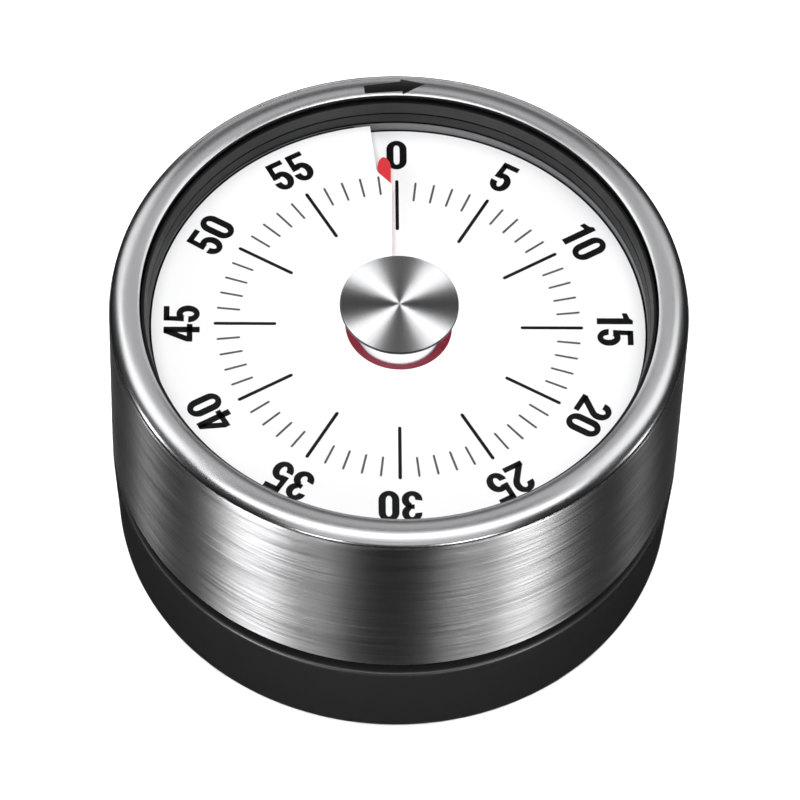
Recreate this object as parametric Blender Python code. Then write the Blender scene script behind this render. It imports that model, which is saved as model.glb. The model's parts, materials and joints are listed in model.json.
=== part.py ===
"""Sixty-minute mechanical kitchen timer with a turning steel housing.

The base holds a clockwork movement, a bell and the white dial. The housing, its lens, the knob and the main
arbor turn together. A red disc shares the dial's screw-shaped surface, and comes out through the dial's slit.
Sizes are in millimetres and MM turns them into metres. +Z is up, the origin is the centre of the resting face,
and the dial's zero is at +Y. The housing's positive turn is clockwise seen from above.
"""

import math

import bmesh
import bpy
from mathutils import Vector

MM = 0.001
GAP = 0.3
WELD = 1e-7

# Driving sizes of the outside
OUTER_R = 40.0
STEEL_BOTTOM_Z = 17.5
CREASE_Z = 46.7
CROWN_Z = 48.0
BEZEL_R = 35.8
STEEL_T = 0.8
INNER_LIFT = 0.4
BASE_TOP_Z = 15.0
BASE_BOTTOM_R = 39.2
NECK_R = 36.8
NECK_TOP_Z = 20.0
KNOB_R = 8.2
KNOB_TOP_Z = 47.4

# The dial and the red disc are two turns of one screw surface
DIAL_Z = 41.3
DIAL_RISE = 1.5
DIAL_R = 34.2
DIAL_HOLE_R = 7.4
SHEET_T = 0.25
RED_R = 24.9
RED_DROP = DIAL_RISE / 2
# The slit runs beside the zero line. Outside NOTCH_R the upper layer is cut back, and the pointer lobe shows there
SLIT_ASIDE = 0.75
NOTCH_R = 23.9
NOTCH_DEG = 353.8
DIAL_START_DEG = -8.4
LEDGE_END_DEG = 349.8
LOBE_R = 29.1
LOBE_START_DEG = 354.6

# The movement's plates
BACK_PLATE_Z = 7.0
FRONT_PLATE_Z = 21.0
PLATE_T = 1.0
PLATE_R = 33.0
PLATE_GAP_Z = (BACK_PLATE_Z + PLATE_T + GAP, FRONT_PLATE_Z - GAP)

# Teeth: wheel and pinion sizes in modules, and half widths as a share of the pitch
WHEEL_ROOT, WHEEL_TIP, WHEEL_ROOT_HALF = 1.2, 0.9, 0.26
LEAF_ROOT, LEAF_TIP, LEAF_ROOT_HALF, LEAF_TIP_HALF = 1.5, 0.7, 0.16, 0.10
LEAVES = 8
GREAT_TEETH, SECOND_TEETH, THIRD_TEETH, ESCAPE_TEETH = 64, 60, 64, 15
GREAT_MODULE, SECOND_MODULE, THIRD_MODULE = 0.4, 0.35, 0.3


def centre_distance(teeth, module):
    """Distance between a wheel's arbor and that of the pinion it drives."""
    return module * (teeth + LEAVES) / 2


def polar(radius, degrees, start=(0.0, 0.0)):
    """Point at a radius and an angle, counted anticlockwise from +X, about a start point."""
    angle = math.radians(degrees)
    return (start[0] + radius * math.cos(angle), start[1] + radius * math.sin(angle))


# Where the arbors stand, from the main arbor outwards
SECOND_DEG, THIRD_DEG, ESCAPE_DEG, LEVER_DEG = 200.0, 290.0, 350.0, 15.0
# a whole number of great wheel teeth away from the second arbor
ALARM_DEG = SECOND_DEG - 12 * 360.0 / GREAT_TEETH
SECOND_AT = polar(centre_distance(GREAT_TEETH, GREAT_MODULE), SECOND_DEG)
THIRD_AT = polar(centre_distance(SECOND_TEETH, SECOND_MODULE), THIRD_DEG, SECOND_AT)
ESCAPE_AT = polar(centre_distance(THIRD_TEETH, THIRD_MODULE), ESCAPE_DEG, THIRD_AT)
PALLET_AT = polar(7.2, LEVER_DEG, ESCAPE_AT)
BALANCE_AT = polar(9.0, LEVER_DEG, PALLET_AT)
ALARM_AT = polar(centre_distance(GREAT_TEETH, GREAT_MODULE), ALARM_DEG)
HAMMER_AT = (-3.5, 17.5)
RELEASE_AT = (-12.0, -6.0)
BELL_AT = (13.0, 12.5)
PILLAR_R, PILLAR_DEGS = 29.5, (20.0, 170.0, 275.0)
TRAY_POST_R, TRAY_POST_DEGS = 29.0, (150.0, 230.0, 330.0)
MOUNT_SCREW_R, MOUNT_SCREW_DEGS = 30.0, (60.0, 150.0, 240.0)
MAGNET_AT_R, MAGNET_DEGS = 20.0, (90.0, 210.0, 330.0)
COVER_SCREW_DEGS = (30.0, 150.0, 270.0)

# Finishes: colour, metallic, roughness
FINISHES = {
    "brushed_steel": ((0.62, 0.62, 0.63), 1.0, 0.32),
    "plate_steel": ((0.55, 0.56, 0.57), 1.0, 0.40),
    "spring_steel": ((0.30, 0.33, 0.38), 1.0, 0.35),
    "brass": ((0.70, 0.52, 0.22), 1.0, 0.35),
    "bell_steel": ((0.68, 0.68, 0.70), 1.0, 0.18),
    "black_abs": ((0.018, 0.018, 0.019), 0.0, 0.42),
    "black_matt": ((0.012, 0.012, 0.013), 0.0, 0.60),
    "white_dial": ((0.88, 0.88, 0.88), 0.0, 0.45),
    "red_film": ((0.75, 0.06, 0.07), 0.0, 0.35),
    "nylon": ((0.78, 0.76, 0.80), 0.0, 0.25),
    "clear_acrylic": ((0.95, 0.96, 0.97), 0.0, 0.05),
    "black_rubber": ((0.02, 0.02, 0.02), 0.0, 0.85),
    "magnet_nickel": ((0.60, 0.60, 0.58), 1.0, 0.22),
    "knob_metal": ((0.70, 0.70, 0.70), 1.0, 0.25),
}


def clear_scene():
    """Remove every object that the file starts with."""
    for thing in list(bpy.data.objects):
        bpy.data.objects.remove(thing, do_unlink=True)


def finish(name):
    """Material of one of the listed finishes, made once."""
    material = bpy.data.materials.get(name)
    if material is None:
        colour, metallic, roughness = FINISHES[name]
        material = bpy.data.materials.new(name)
        material.use_nodes = True
        shader = material.node_tree.nodes["Principled BSDF"]
        shader.inputs["Base Color"].default_value = (*colour, 1.0)
        shader.inputs["Metallic"].default_value = metallic
        shader.inputs["Roughness"].default_value = roughness
    return material


def add_object(name, shape, parent):
    """Object made from a bmesh, welded, facing outwards and under its parent."""
    bmesh.ops.remove_doubles(shape, verts=shape.verts, dist=WELD)
    bmesh.ops.recalc_face_normals(shape, faces=shape.faces)
    mesh = bpy.data.meshes.new(name)
    shape.to_mesh(mesh)
    shape.free()
    thing = bpy.data.objects.new(name, mesh)
    bpy.context.scene.collection.objects.link(thing)
    thing.parent = parent
    return thing


def add_piece(name, shape, look, parent=None):
    """One sub-part with its material, smooth where its faces meet gently."""
    piece = add_object(name, shape, parent)
    piece.data.materials.append(finish(look))
    piece.data.shade_smooth()
    piece.data.set_sharp_from_angle(angle=math.radians(30))
    return piece


def add_axis(name, at=(0.0, 0.0)):
    """Empty that stands on a joint's axis and holds what turns about it."""
    axis = bpy.data.objects.new(name, None)
    axis.location = Vector((at[0], at[1], 0.0)) * MM
    bpy.context.scene.collection.objects.link(axis)
    return axis


def turned(profile, segments=48, at=(0.0, 0.0), shape=None):
    """Solid of revolution. The profile is a list of (radius, height); one that starts at radius 0 stays open."""
    shape = shape or bmesh.new()
    centre = Vector((at[0], at[1], 0.0)) * MM
    verts = [shape.verts.new(centre + Vector((r, 0.0, z)) * MM) for r, z in profile]
    closed = profile[0][0] > 0.0
    pairs = zip(verts, verts[1:] + verts[:1] if closed else verts[1:])
    edges = [shape.edges.new(pair) for pair in pairs]
    bmesh.ops.spin(shape, geom=verts + edges, cent=centre, axis=(0, 0, 1), angle=math.tau, steps=segments)
    return shape


def rod(radius, low, high):
    """Open profile of a plain cylinder."""
    return [(0.0, low), (radius, low), (radius, high), (0.0, high)]


def ring(inner, outer, low, high):
    """Closed profile of a plain ring."""
    return [(inner, low), (outer, low), (outer, high), (inner, high)]


def stepped(*steps):
    """Open profile of a shaft whose steps are (radius, low, high), from the bottom up."""
    points = [(0.0, steps[0][1])]
    for radius, low, high in steps:
        points += [(radius, low), (radius, high)]
    return points + [(0.0, steps[-1][2])]


def prism(outline, low, high, shape=None):
    """Upright block over a flat outline of (x, y) points."""
    shape = shape or bmesh.new()
    verts = [shape.verts.new((x * MM, y * MM, low * MM)) for x, y in outline]
    face = shape.faces.new(verts)
    grown = bmesh.ops.extrude_face_region(shape, geom=[face])["geom"]
    top = [item for item in grown if isinstance(item, bmesh.types.BMVert)]
    bmesh.ops.translate(shape, verts=top, vec=(0.0, 0.0, (high - low) * MM))
    return shape


def circle(radius, count, at=(0.0, 0.0), start=0.0):
    """Outline of a regular polygon."""
    return [polar(radius, start + 360.0 * i / count, at) for i in range(count)]


def add_cutter(name, shape, parent):
    """Hidden helper shape for a Boolean."""
    cutter = add_object(name, shape, parent)
    cutter.hide_render = True
    cutter.display_type = "WIRE"
    return cutter


def combine(piece, operation, shape):
    """Boolean of a piece with a hidden shape that shares its axis."""
    cutter = add_cutter(f"{piece.name}_{operation.lower()}_tool", shape, piece.parent)
    step = piece.modifiers.new(operation.title(), "BOOLEAN")
    step.operation = operation
    step.solver = "EXACT"
    step.object = cutter


def drill(piece, holes, low, high, segments=16):
    """Round holes through a piece. A hole is (radius, place)."""
    shape = bmesh.new()
    for radius, place in holes:
        prism(circle(radius, segments, place), low, high, shape)
    combine(piece, "DIFFERENCE", shape)


def gear_outline(teeth, corners, tooth_deg):
    """Outline of a toothed wheel. Corners are one tooth's (radius, share of the pitch from its middle)."""
    pitch = 360.0 / teeth
    return [
        polar(radius, tooth_deg + (tooth + share) * pitch)
        for tooth in range(teeth)
        for radius, share in corners
    ]


def wheel_outline(teeth, module, tooth_deg):
    """Outline of a driving wheel with one pointed tooth in the given direction."""
    pitch_r = module * teeth / 2
    root, tip = pitch_r - WHEEL_ROOT * module, pitch_r + WHEEL_TIP * module
    return gear_outline(teeth, ((root, -WHEEL_ROOT_HALF), (tip, 0.0), (root, WHEEL_ROOT_HALF)), tooth_deg)


def pinion_outline(module, mesh_deg):
    """Outline of a pinion with a gap towards the wheel that drives it, which lies the given way."""
    pitch_r = module * LEAVES / 2
    root, tip = pitch_r - LEAF_ROOT * module, pitch_r + LEAF_TIP * module
    leaf = ((root, -LEAF_ROOT_HALF), (tip, -LEAF_TIP_HALF), (tip, LEAF_TIP_HALF), (root, LEAF_ROOT_HALF))
    return gear_outline(LEAVES, leaf, mesh_deg + 180.0 / LEAVES)


def add_arbor(name, axis, module, mesh_deg, pinion_z, shaft_r, span):
    """Steel arbor: a shaft through both plates with its pinion cut in one piece."""
    arbor = add_piece(name, turned(rod(shaft_r, *span), segments=12), "plate_steel", axis)
    combine(arbor, "UNION", prism(pinion_outline(module, mesh_deg), *pinion_z))
    return arbor


def add_train_wheel(name, axis, teeth, module, tooth_deg, span, bore_r, window):
    """Brass wheel with round windows between its arms. window is (radius, distance)."""
    wheel = add_piece(name, prism(wheel_outline(teeth, module, tooth_deg), *span), "brass", axis)
    holes = [(bore_r, (0.0, 0.0))] + [(window[0], polar(window[1], 90.0 * i)) for i in range(4)]
    drill(wheel, holes, span[0] - 1.0, span[1] + 1.0, segments=8)
    return wheel


def spiral_strip(inner, outer, turns, thickness, start_deg, steps_per_turn=12):
    """Outline of a flat spiral spring seen from above."""
    steps = int(turns * steps_per_turn)
    sides = []
    for side in (-thickness / 2, thickness / 2):
        sides.append([
            polar(inner + (outer - inner) * i / steps + side, start_deg + 360.0 * turns * i / steps)
            for i in range(steps + 1)
        ])
    return sides[0] + sides[1][::-1]


def dial_height(clock_deg):
    """Height of the middle of the dial's sheet, by the clockwise angle from the slit."""
    return DIAL_Z + DIAL_RISE * clock_deg / 360.0


def clock_point(radius, clock_deg, z):
    """Point at a clockwise angle from +Y."""
    x, y = polar(radius, 90.0 - clock_deg)
    return Vector((x, y, z)) * MM


def swept_ring(profile_at, clock_degs):
    """Closed ring through a profile of (radius, height) that changes with the clockwise angle."""
    shape = bmesh.new()
    rows = [[shape.verts.new(clock_point(r, deg, z)) for r, z in profile_at(deg)] for deg in clock_degs]
    skin_rows(shape, rows, closed=True)
    return shape


def steps_between(start, end, count):
    """Evenly spaced angles, both ends included."""
    return [start + (end - start) * i / count for i in range(count + 1)]


def edge_deg(radius, aside):
    """Clock angle of a point on a line beside the zero line, a given distance before it."""
    return 360.0 - math.degrees(math.asin(aside / radius))


def ramp_sheet(inner, rim, aside, drop):
    """Thin sheet along the screw surface, lowered by drop.

    rim lists (clock angle, outer radius) up to the last edge, which runs straight beside the zero line.
    """
    start, rim_end = rim[0][0], rim[-1][0]
    inner_share = (edge_deg(inner, aside) - start) / (rim_end - start)
    shape = bmesh.new()
    rows = []
    for deg, outer in rim:
        inner_deg = start + (deg - start) * inner_share
        corners = ((inner, inner_deg, -0.5), (outer, deg, -0.5), (outer, deg, 0.5), (inner, inner_deg, 0.5))
        rows.append([
            shape.verts.new(clock_point(r, at, dial_height(at) - drop + side * SHEET_T)) for r, at, side in corners
        ])
    skin_rows(shape, rows)
    return shape


def skin_rows(shape, rows, closed=False):
    """Faces between rows of points, and over both ends unless the rows close on themselves."""
    count = len(rows[0])
    for a, b in zip(rows, rows[1:] + (rows[:1] if closed else [])):
        for i in range(count):
            j = (i + 1) % count
            shape.faces.new((a[i], a[j], b[j], b[i]))
    if not closed:
        shape.faces.new(rows[0])
        shape.faces.new(rows[-1][::-1])


def add_base():
    """Black cup that stands still: wall, deck with screw bosses, and the neck that the housing turns on."""
    wall_r = NECK_R - 1.6
    deck_low, deck_high = 3.2, 5.0
    cup = add_piece("base_cup", turned([
        (37.0, 0.3), (BASE_BOTTOM_R - 0.6, 0.3), (BASE_BOTTOM_R, 0.9), (OUTER_R, BASE_TOP_Z - 0.5),
        (OUTER_R - 0.5, BASE_TOP_Z), (NECK_R, BASE_TOP_Z), (NECK_R, NECK_TOP_Z), (wall_r, NECK_TOP_Z),
        (wall_r, deck_high), (3.0, deck_high), (3.0, deck_low), (37.0, deck_low),
    ], segments=48), "black_abs")
    boss_places = [polar(MOUNT_SCREW_R, deg) for deg in MOUNT_SCREW_DEGS]
    bosses = bmesh.new()
    for place in boss_places:
        prism(circle(2.4, 10, place), deck_high - 0.5, BACK_PLATE_Z - GAP, bosses)
    combine(cup, "UNION", bosses)
    cover_places = [polar(27.0, deg) for deg in COVER_SCREW_DEGS]
    holes = bmesh.new()
    for place in boss_places:
        prism(circle(1.2, 8, place), 4.0, 8.0, holes)
    for place in cover_places:
        prism(circle(1.2, 8, place), 2.0, 6.0, holes)
    combine(cup, "DIFFERENCE", holes)

    for number, place in enumerate(boss_places, 1):
        screw = turned(stepped((0.9, 4.3, 8.3), (2.0, 8.3, 9.3)), segments=8, at=place)
        add_piece(f"movement_screw_{number}", screw, "plate_steel")

    cover = add_piece("bottom_cover", turned(rod(36.6, 0.3, 2.9), segments=40), "black_abs")
    recess = turned(ring(30.7, 34.3, -1.0, 1.3), segments=40)
    for deg in MAGNET_DEGS:
        prism(circle(5.4, 16, polar(MAGNET_AT_R, deg)), -1.0, 2.2, recess)
    for place in cover_places:
        turned(stepped((2.4, -1.0, 1.6), (1.2, 1.6, 4.0)), 8, place, recess)
    combine(cover, "DIFFERENCE", recess)
    add_piece("foot_ring", turned(ring(31.0, 34.0, 0.0, 1.0), segments=40), "black_rubber")
    for number, deg in enumerate(MAGNET_DEGS, 1):
        place = polar(MAGNET_AT_R, deg)
        add_piece(f"magnet_{number}", turned(rod(5.0, 0.3, 1.9), segments=16, at=place), "magnet_nickel")
    for number, place in enumerate(cover_places, 1):
        screw = turned(stepped((2.0, 0.4, 1.3), (0.9, 1.3, 4.6)), segments=8, at=place)
        add_piece(f"cover_screw_{number}", screw, "plate_steel")


def add_plates():
    """The movement's two plates, with pivot holes, and the pillars that hold them apart."""
    arbor_holes = [(1.9, (0.0, 0.0))] + [
        (0.9, place) for place in (SECOND_AT, THIRD_AT, ESCAPE_AT, PALLET_AT, BALANCE_AT, ALARM_AT)
    ]
    pillar_places = [polar(PILLAR_R, deg) for deg in PILLAR_DEGS]
    pillar_holes = [(1.2, place) for place in pillar_places]
    back_holes = [(1.2, polar(MOUNT_SCREW_R, deg)) for deg in MOUNT_SCREW_DEGS]
    front_holes = [(1.0, HAMMER_AT), (1.0, RELEASE_AT), (1.2, BELL_AT)]
    front_holes += [(1.2, polar(TRAY_POST_R, deg)) for deg in TRAY_POST_DEGS]
    for name, low, extra in (("back_plate", BACK_PLATE_Z, back_holes), ("front_plate", FRONT_PLATE_Z, front_holes)):
        plate = add_piece(name, turned(rod(PLATE_R, low, low + PLATE_T), segments=40), "plate_steel")
        drill(plate, arbor_holes + pillar_holes + extra, low - 1.0, low + PLATE_T + 1.0, segments=8)
    low, high = PLATE_GAP_Z
    for number, place in enumerate(pillar_places, 1):
        shaft = stepped((0.9, BACK_PLATE_Z - GAP, low), (1.8, low, high), (0.9, high, FRONT_PLATE_Z + 2.6))
        add_piece(f"pillar_{number}", turned(shaft, segments=8, at=place), "plate_steel")
        add_piece(f"pillar_nut_{number}", hex_nut(place, FRONT_PLATE_Z + PLATE_T + GAP, 1.2), "plate_steel")


def hex_nut(place, low, height, bore_r=1.2, across=2.4):
    """Hexagon nut around a threaded end."""
    return ring_prism(circle(across, 6, place), circle(bore_r, 6, place), low, low + height)


def ring_prism(outside, inside, low, high):
    """Upright block between two outlines with the same number of points."""
    shape = bmesh.new()
    loops = [
        [shape.verts.new((x * MM, y * MM, z * MM)) for x, y in outline]
        for outline, z in ((outside, low), (outside, high), (inside, high), (inside, low))
    ]
    for a, b in zip(loops, loops[1:] + loops[:1]):
        for i in range(len(a)):
            j = (i + 1) % len(a)
            shape.faces.new((a[i], a[j], b[j], b[i]))
    return shape


def add_train():
    """Great wheel on the main arbor, then second, third and escape wheels on their own arbors."""
    great = add_axis("great_axis")
    wheel = add_piece("great_wheel", prism(wheel_outline(GREAT_TEETH, GREAT_MODULE, SECOND_DEG), 14.6, 15.6),
                      "brass", great)
    drill(wheel, [(1.9, (0.0, 0.0))] + [(2.1, polar(9.4, 35.0 + 90.0 * i)) for i in range(4)], 13.6, 16.6, 8)
    add_piece("click", prism([
        polar(7.6, 8.0), polar(6.0, -8.0), polar(4.6, -23.0), polar(5.2, -28.0), polar(7.0, -14.0), polar(8.8, 2.0),
    ], 15.9, 16.7), "spring_steel", great)
    add_piece("click_spring", prism([
        polar(8.9, 10.0), polar(8.3, 40.0), polar(7.2, 70.0), polar(6.9, 69.0), polar(8.0, 39.0), polar(8.6, 11.0),
    ], 15.9, 16.5), "spring_steel", great)

    low, high = BACK_PLATE_Z - 0.4, FRONT_PLATE_Z + PLATE_T + 0.4
    second = add_axis("second_axis", SECOND_AT)
    add_arbor("second_arbor", second, GREAT_MODULE, SECOND_DEG + 180.0, (14.3, 15.9), 0.6, (low, high))
    add_train_wheel("second_wheel", second, SECOND_TEETH, SECOND_MODULE, THIRD_DEG, (18.0, 18.6), 0.9, (2.4, 6.2))
    third = add_axis("third_axis", THIRD_AT)
    add_arbor("third_arbor", third, SECOND_MODULE, THIRD_DEG + 180.0, (17.5, 19.1), 0.5, (low, high))
    add_train_wheel("third_wheel", third, THIRD_TEETH, THIRD_MODULE, ESCAPE_DEG, (10.6, 11.2), 0.8, (2.2, 5.6))
    escape = add_axis("escape_axis", ESCAPE_AT)
    add_arbor("escape_arbor", escape, THIRD_MODULE, ESCAPE_DEG + 180.0, (10.2, 11.6), 0.45, (low, high))
    saw = [
        polar(radius, LEVER_DEG + 360.0 * (tooth + share) / ESCAPE_TEETH)
        for tooth in range(ESCAPE_TEETH)
        for radius, share in ((3.1, 0.15), (4.4, 0.46), (4.4, 0.54), (3.1, 0.60))
    ]
    wheel = add_piece("escape_wheel", prism(saw, 13.2, 13.8), "brass", escape)
    drill(wheel, [(0.75, (0.0, 0.0))], 12.2, 14.8, 12)


def lever_frame(across, along, origin=(0.0, 0.0)):
    """Point given along and across the line from the escape wheel to the balance."""
    return polar(across, LEVER_DEG + 90.0, polar(along, LEVER_DEG, origin))


def add_escapement():
    """Pin-pallet lever and balance. The pins stand clear of the wheel, since one tree can't hold their timed meeting."""
    low, high = BACK_PLATE_Z - 0.4, FRONT_PLATE_Z + PLATE_T + 0.4
    pallet = add_axis("pallet_axis", PALLET_AT)
    outline = [lever_frame(across, along) for across, along in (
        (-2.6, -3.2), (-1.6, -3.2), (-0.9, -1.2), (0.9, -1.2), (1.6, -3.2), (2.6, -3.2), (1.8, 0.8), (0.6, 1.6),
        (0.6, 5.6), (1.9, 6.4), (1.9, 8.4), (1.2, 8.4), (1.2, 6.9), (-1.2, 6.9), (-1.2, 8.4), (-1.9, 8.4),
        (-1.9, 6.4), (-0.6, 5.6), (-0.6, 1.6), (-1.8, 0.8),
    )]
    lever = add_piece("pallet_lever", prism(outline, 12.2, 12.8), "brass", pallet)
    pins = bmesh.new()
    for side in (-1.0, 1.0):
        prism(circle(0.25, 8, lever_frame(side * 2.1, -2.4)), 12.5, 14.0, pins)
    combine(lever, "UNION", pins)
    drill(lever, [(0.75, (0.0, 0.0))], 11.2, 14.8, 12)
    add_piece("pallet_arbor", turned(stepped((0.45, low, high)), segments=12), "plate_steel", pallet)

    balance = add_axis("balance_axis", BALANCE_AT)
    wheel = add_piece("balance_wheel", turned(ring(5.0, 6.0, 10.2, 11.2), segments=24), "brass", balance)
    arm = bmesh.new()
    prism([(-5.4, -0.5), (5.4, -0.5), (5.4, 0.5), (-5.4, 0.5)], 10.4, 11.0, arm)
    combine(wheel, "UNION", arm)
    combine_hub(wheel)
    staff = add_piece("balance_staff", turned(stepped((0.45, low, 11.4), (1.7, 11.4, 11.9), (0.45, 11.9, high)),
                                              segments=12), "plate_steel", balance)
    pin = prism(circle(0.3, 8, lever_frame(0.0, -1.3)), 11.7, 13.0)
    combine(staff, "UNION", pin)


def combine_hub(wheel):
    """Hub in the middle of the balance's arm, bored for the staff."""
    combine(wheel, "UNION", turned(rod(1.5, 10.3, 11.1), segments=12))
    drill(wheel, [(0.75, (0.0, 0.0))], 9.2, 12.2, 12)


def add_springs():
    """Mainspring round the arbor, and the balance's hairspring."""
    outline = spiral_strip(2.4, 8.0, 5, 0.35, 0.0)
    add_piece("mainspring", prism(outline, 9.0, 13.6), "spring_steel")
    balance = add_axis("hairspring_place", BALANCE_AT)
    add_piece("hairspring", prism(spiral_strip(1.0, 4.2, 3, 0.12, 90.0), 8.9, 9.4), "spring_steel", balance)


def add_alarm():
    """Bell on its post, alarm wheel, sprung hammer and the lever that lets it go at zero."""
    top = FRONT_PLATE_Z + PLATE_T
    post = stepped((0.9, FRONT_PLATE_Z - 0.4, top + GAP), (1.8, top + GAP, 32.9), (0.9, 32.9, 36.0))
    add_piece("bell_post", turned(post, segments=12, at=BELL_AT), "plate_steel")
    bell = [
        (14.0, 27.0), (14.0, 30.5), (12.8, 33.0), (9.8, 34.0), (1.2, 34.0),
        (1.2, 33.2), (9.6, 33.2), (12.1, 32.4), (13.2, 30.3), (13.2, 27.0),
    ]
    add_piece("bell", turned(bell, segments=32, at=BELL_AT), "bell_steel")
    add_piece("bell_nut", hex_nut(BELL_AT, 34.3, 1.4), "plate_steel")

    alarm = add_axis("alarm_axis", ALARM_AT)
    add_arbor("alarm_arbor", alarm, GREAT_MODULE, ALARM_DEG + 180.0, (14.3, 15.9), 0.6,
              (BACK_PLATE_Z - 0.4, top + 0.4))
    star = gear_outline(12, ((2.6, -0.3), (3.6, 0.0), (2.6, 0.3)), 0.0)
    wheel = add_piece("alarm_wheel", prism(star, 18.0, 18.8), "plate_steel", alarm)
    drill(wheel, [(0.9, (0.0, 0.0))], 17.0, 19.8, 12)

    hammer = add_axis("hammer_axis", HAMMER_AT)
    arbor = add_piece("hammer_arbor", turned(rod(0.7, 16.9, 30.0), segments=12), "plate_steel", hammer)
    wheel_deg = math.degrees(math.atan2(ALARM_AT[1] - HAMMER_AT[1], ALARM_AT[0] - HAMMER_AT[0]))
    verge = [
        polar(1.4, wheel_deg + 90.0), polar(4.6, wheel_deg + 30.0), polar(4.9, wheel_deg + 24.0),
        polar(1.6, wheel_deg), polar(4.9, wheel_deg - 24.0), polar(4.6, wheel_deg - 30.0), polar(1.4, wheel_deg - 90.0),
        polar(1.4, wheel_deg + 180.0),
    ]
    combine(arbor, "UNION", prism(verge, 18.0, 18.8))
    head = (1.6, -11.8)
    arm = add_piece("hammer", prism([(-1.4, 1.2), (-1.4, -1.2), (0.8, -10.8), (2.0, -10.8), (0.9, -1.2), (1.4, 1.2)],
                                    28.2, 29.0), "plate_steel", hammer)
    combine(arm, "UNION", prism(circle(1.3, 12, head), 27.2, 30.0))
    drill(arm, [(1.0, (0.0, 0.0))], 27.2, 30.0, 12)

    release = add_axis("release_axis", RELEASE_AT)
    cam_deg = math.degrees(math.atan2(-RELEASE_AT[1], -RELEASE_AT[0]))
    lever = [
        polar(1.6, cam_deg + 120.0), polar(1.6, cam_deg - 120.0), polar(1.6, cam_deg - 30.0),
        polar(6.6, cam_deg - 6.0), polar(6.6, cam_deg + 6.0), polar(1.6, cam_deg + 30.0),
    ]
    piece = add_piece("release_lever", prism(lever, 23.0, 23.8), "plate_steel", release)
    combine(piece, "UNION", turned(rod(0.7, FRONT_PLATE_Z - 0.4, 24.4), segments=12))


def add_dial():
    """Black tray with its screw-shaped ledge, on three posts, and the white dial on it."""
    top = FRONT_PLATE_Z + PLATE_T
    tray_low, tray_high = 39.0, 40.0
    rim_z = dial_height(360.0) + 0.1

    def tray_section(deg):
        ledge = dial_height(deg if deg <= LEDGE_END_DEG else deg - 360.0) - SHEET_T / 2 - GAP
        return (
            (2.2, tray_low), (35.2, tray_low), (35.2, rim_z - 1.2), (34.6, rim_z), (34.5, rim_z), (34.5, ledge), (32.4, ledge),
            (32.4, tray_high), (2.2, tray_high),
        )
    degs = steps_between(0.0, LEDGE_END_DEG, 54) + [LEDGE_END_DEG + 1.5, 356.0]
    tray = add_piece("dial_tray", swept_ring(tray_section, degs), "black_matt")
    post_places = [polar(TRAY_POST_R, deg) for deg in TRAY_POST_DEGS]
    drill(tray, [(1.2, place) for place in post_places], tray_low - 1.0, tray_high + 0.3, 12)
    for number, place in enumerate(post_places, 1):
        post = stepped((0.9, FRONT_PLATE_Z - 0.4, top + GAP), (1.8, top + GAP, tray_low - GAP),
                       (0.9, tray_low - GAP, tray_high + 0.2))
        add_piece(f"tray_post_{number}", turned(post, segments=8, at=place), "plate_steel")
    rim = [(deg, DIAL_R) for deg in steps_between(DIAL_START_DEG, NOTCH_DEG, 58)]
    rim += [(NOTCH_DEG + 0.1, NOTCH_R), (edge_deg(NOTCH_R, SLIT_ASIDE), NOTCH_R)]
    add_piece("dial", ramp_sheet(DIAL_HOLE_R, rim, SLIT_ASIDE, 0.0), "white_dial")


def add_red_disc():
    """Red sheet half a pitch under the dial, with its pointer lobe at the leading edge and its hub."""
    lobe_end_r = LOBE_R - 1.3
    lobe_end_deg = edge_deg(lobe_end_r, SLIT_ASIDE + 0.1)
    rim = [(deg, RED_R) for deg in steps_between(12.0, LOBE_START_DEG, 56)]
    for share in steps_between(0.05, 1.0, 5):
        bulge = 1.3 * math.sin(math.pi * share)
        rim.append((LOBE_START_DEG + share * (lobe_end_deg - LOBE_START_DEG), lobe_end_r + bulge))
    disc = add_piece("red_disc", ramp_sheet(6.0, rim, SLIT_ASIDE + 0.1, RED_DROP), "red_film")
    combine(disc, "UNION", turned(ring(6.0, 7.0, 40.2, 40.8), segments=48))


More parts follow.
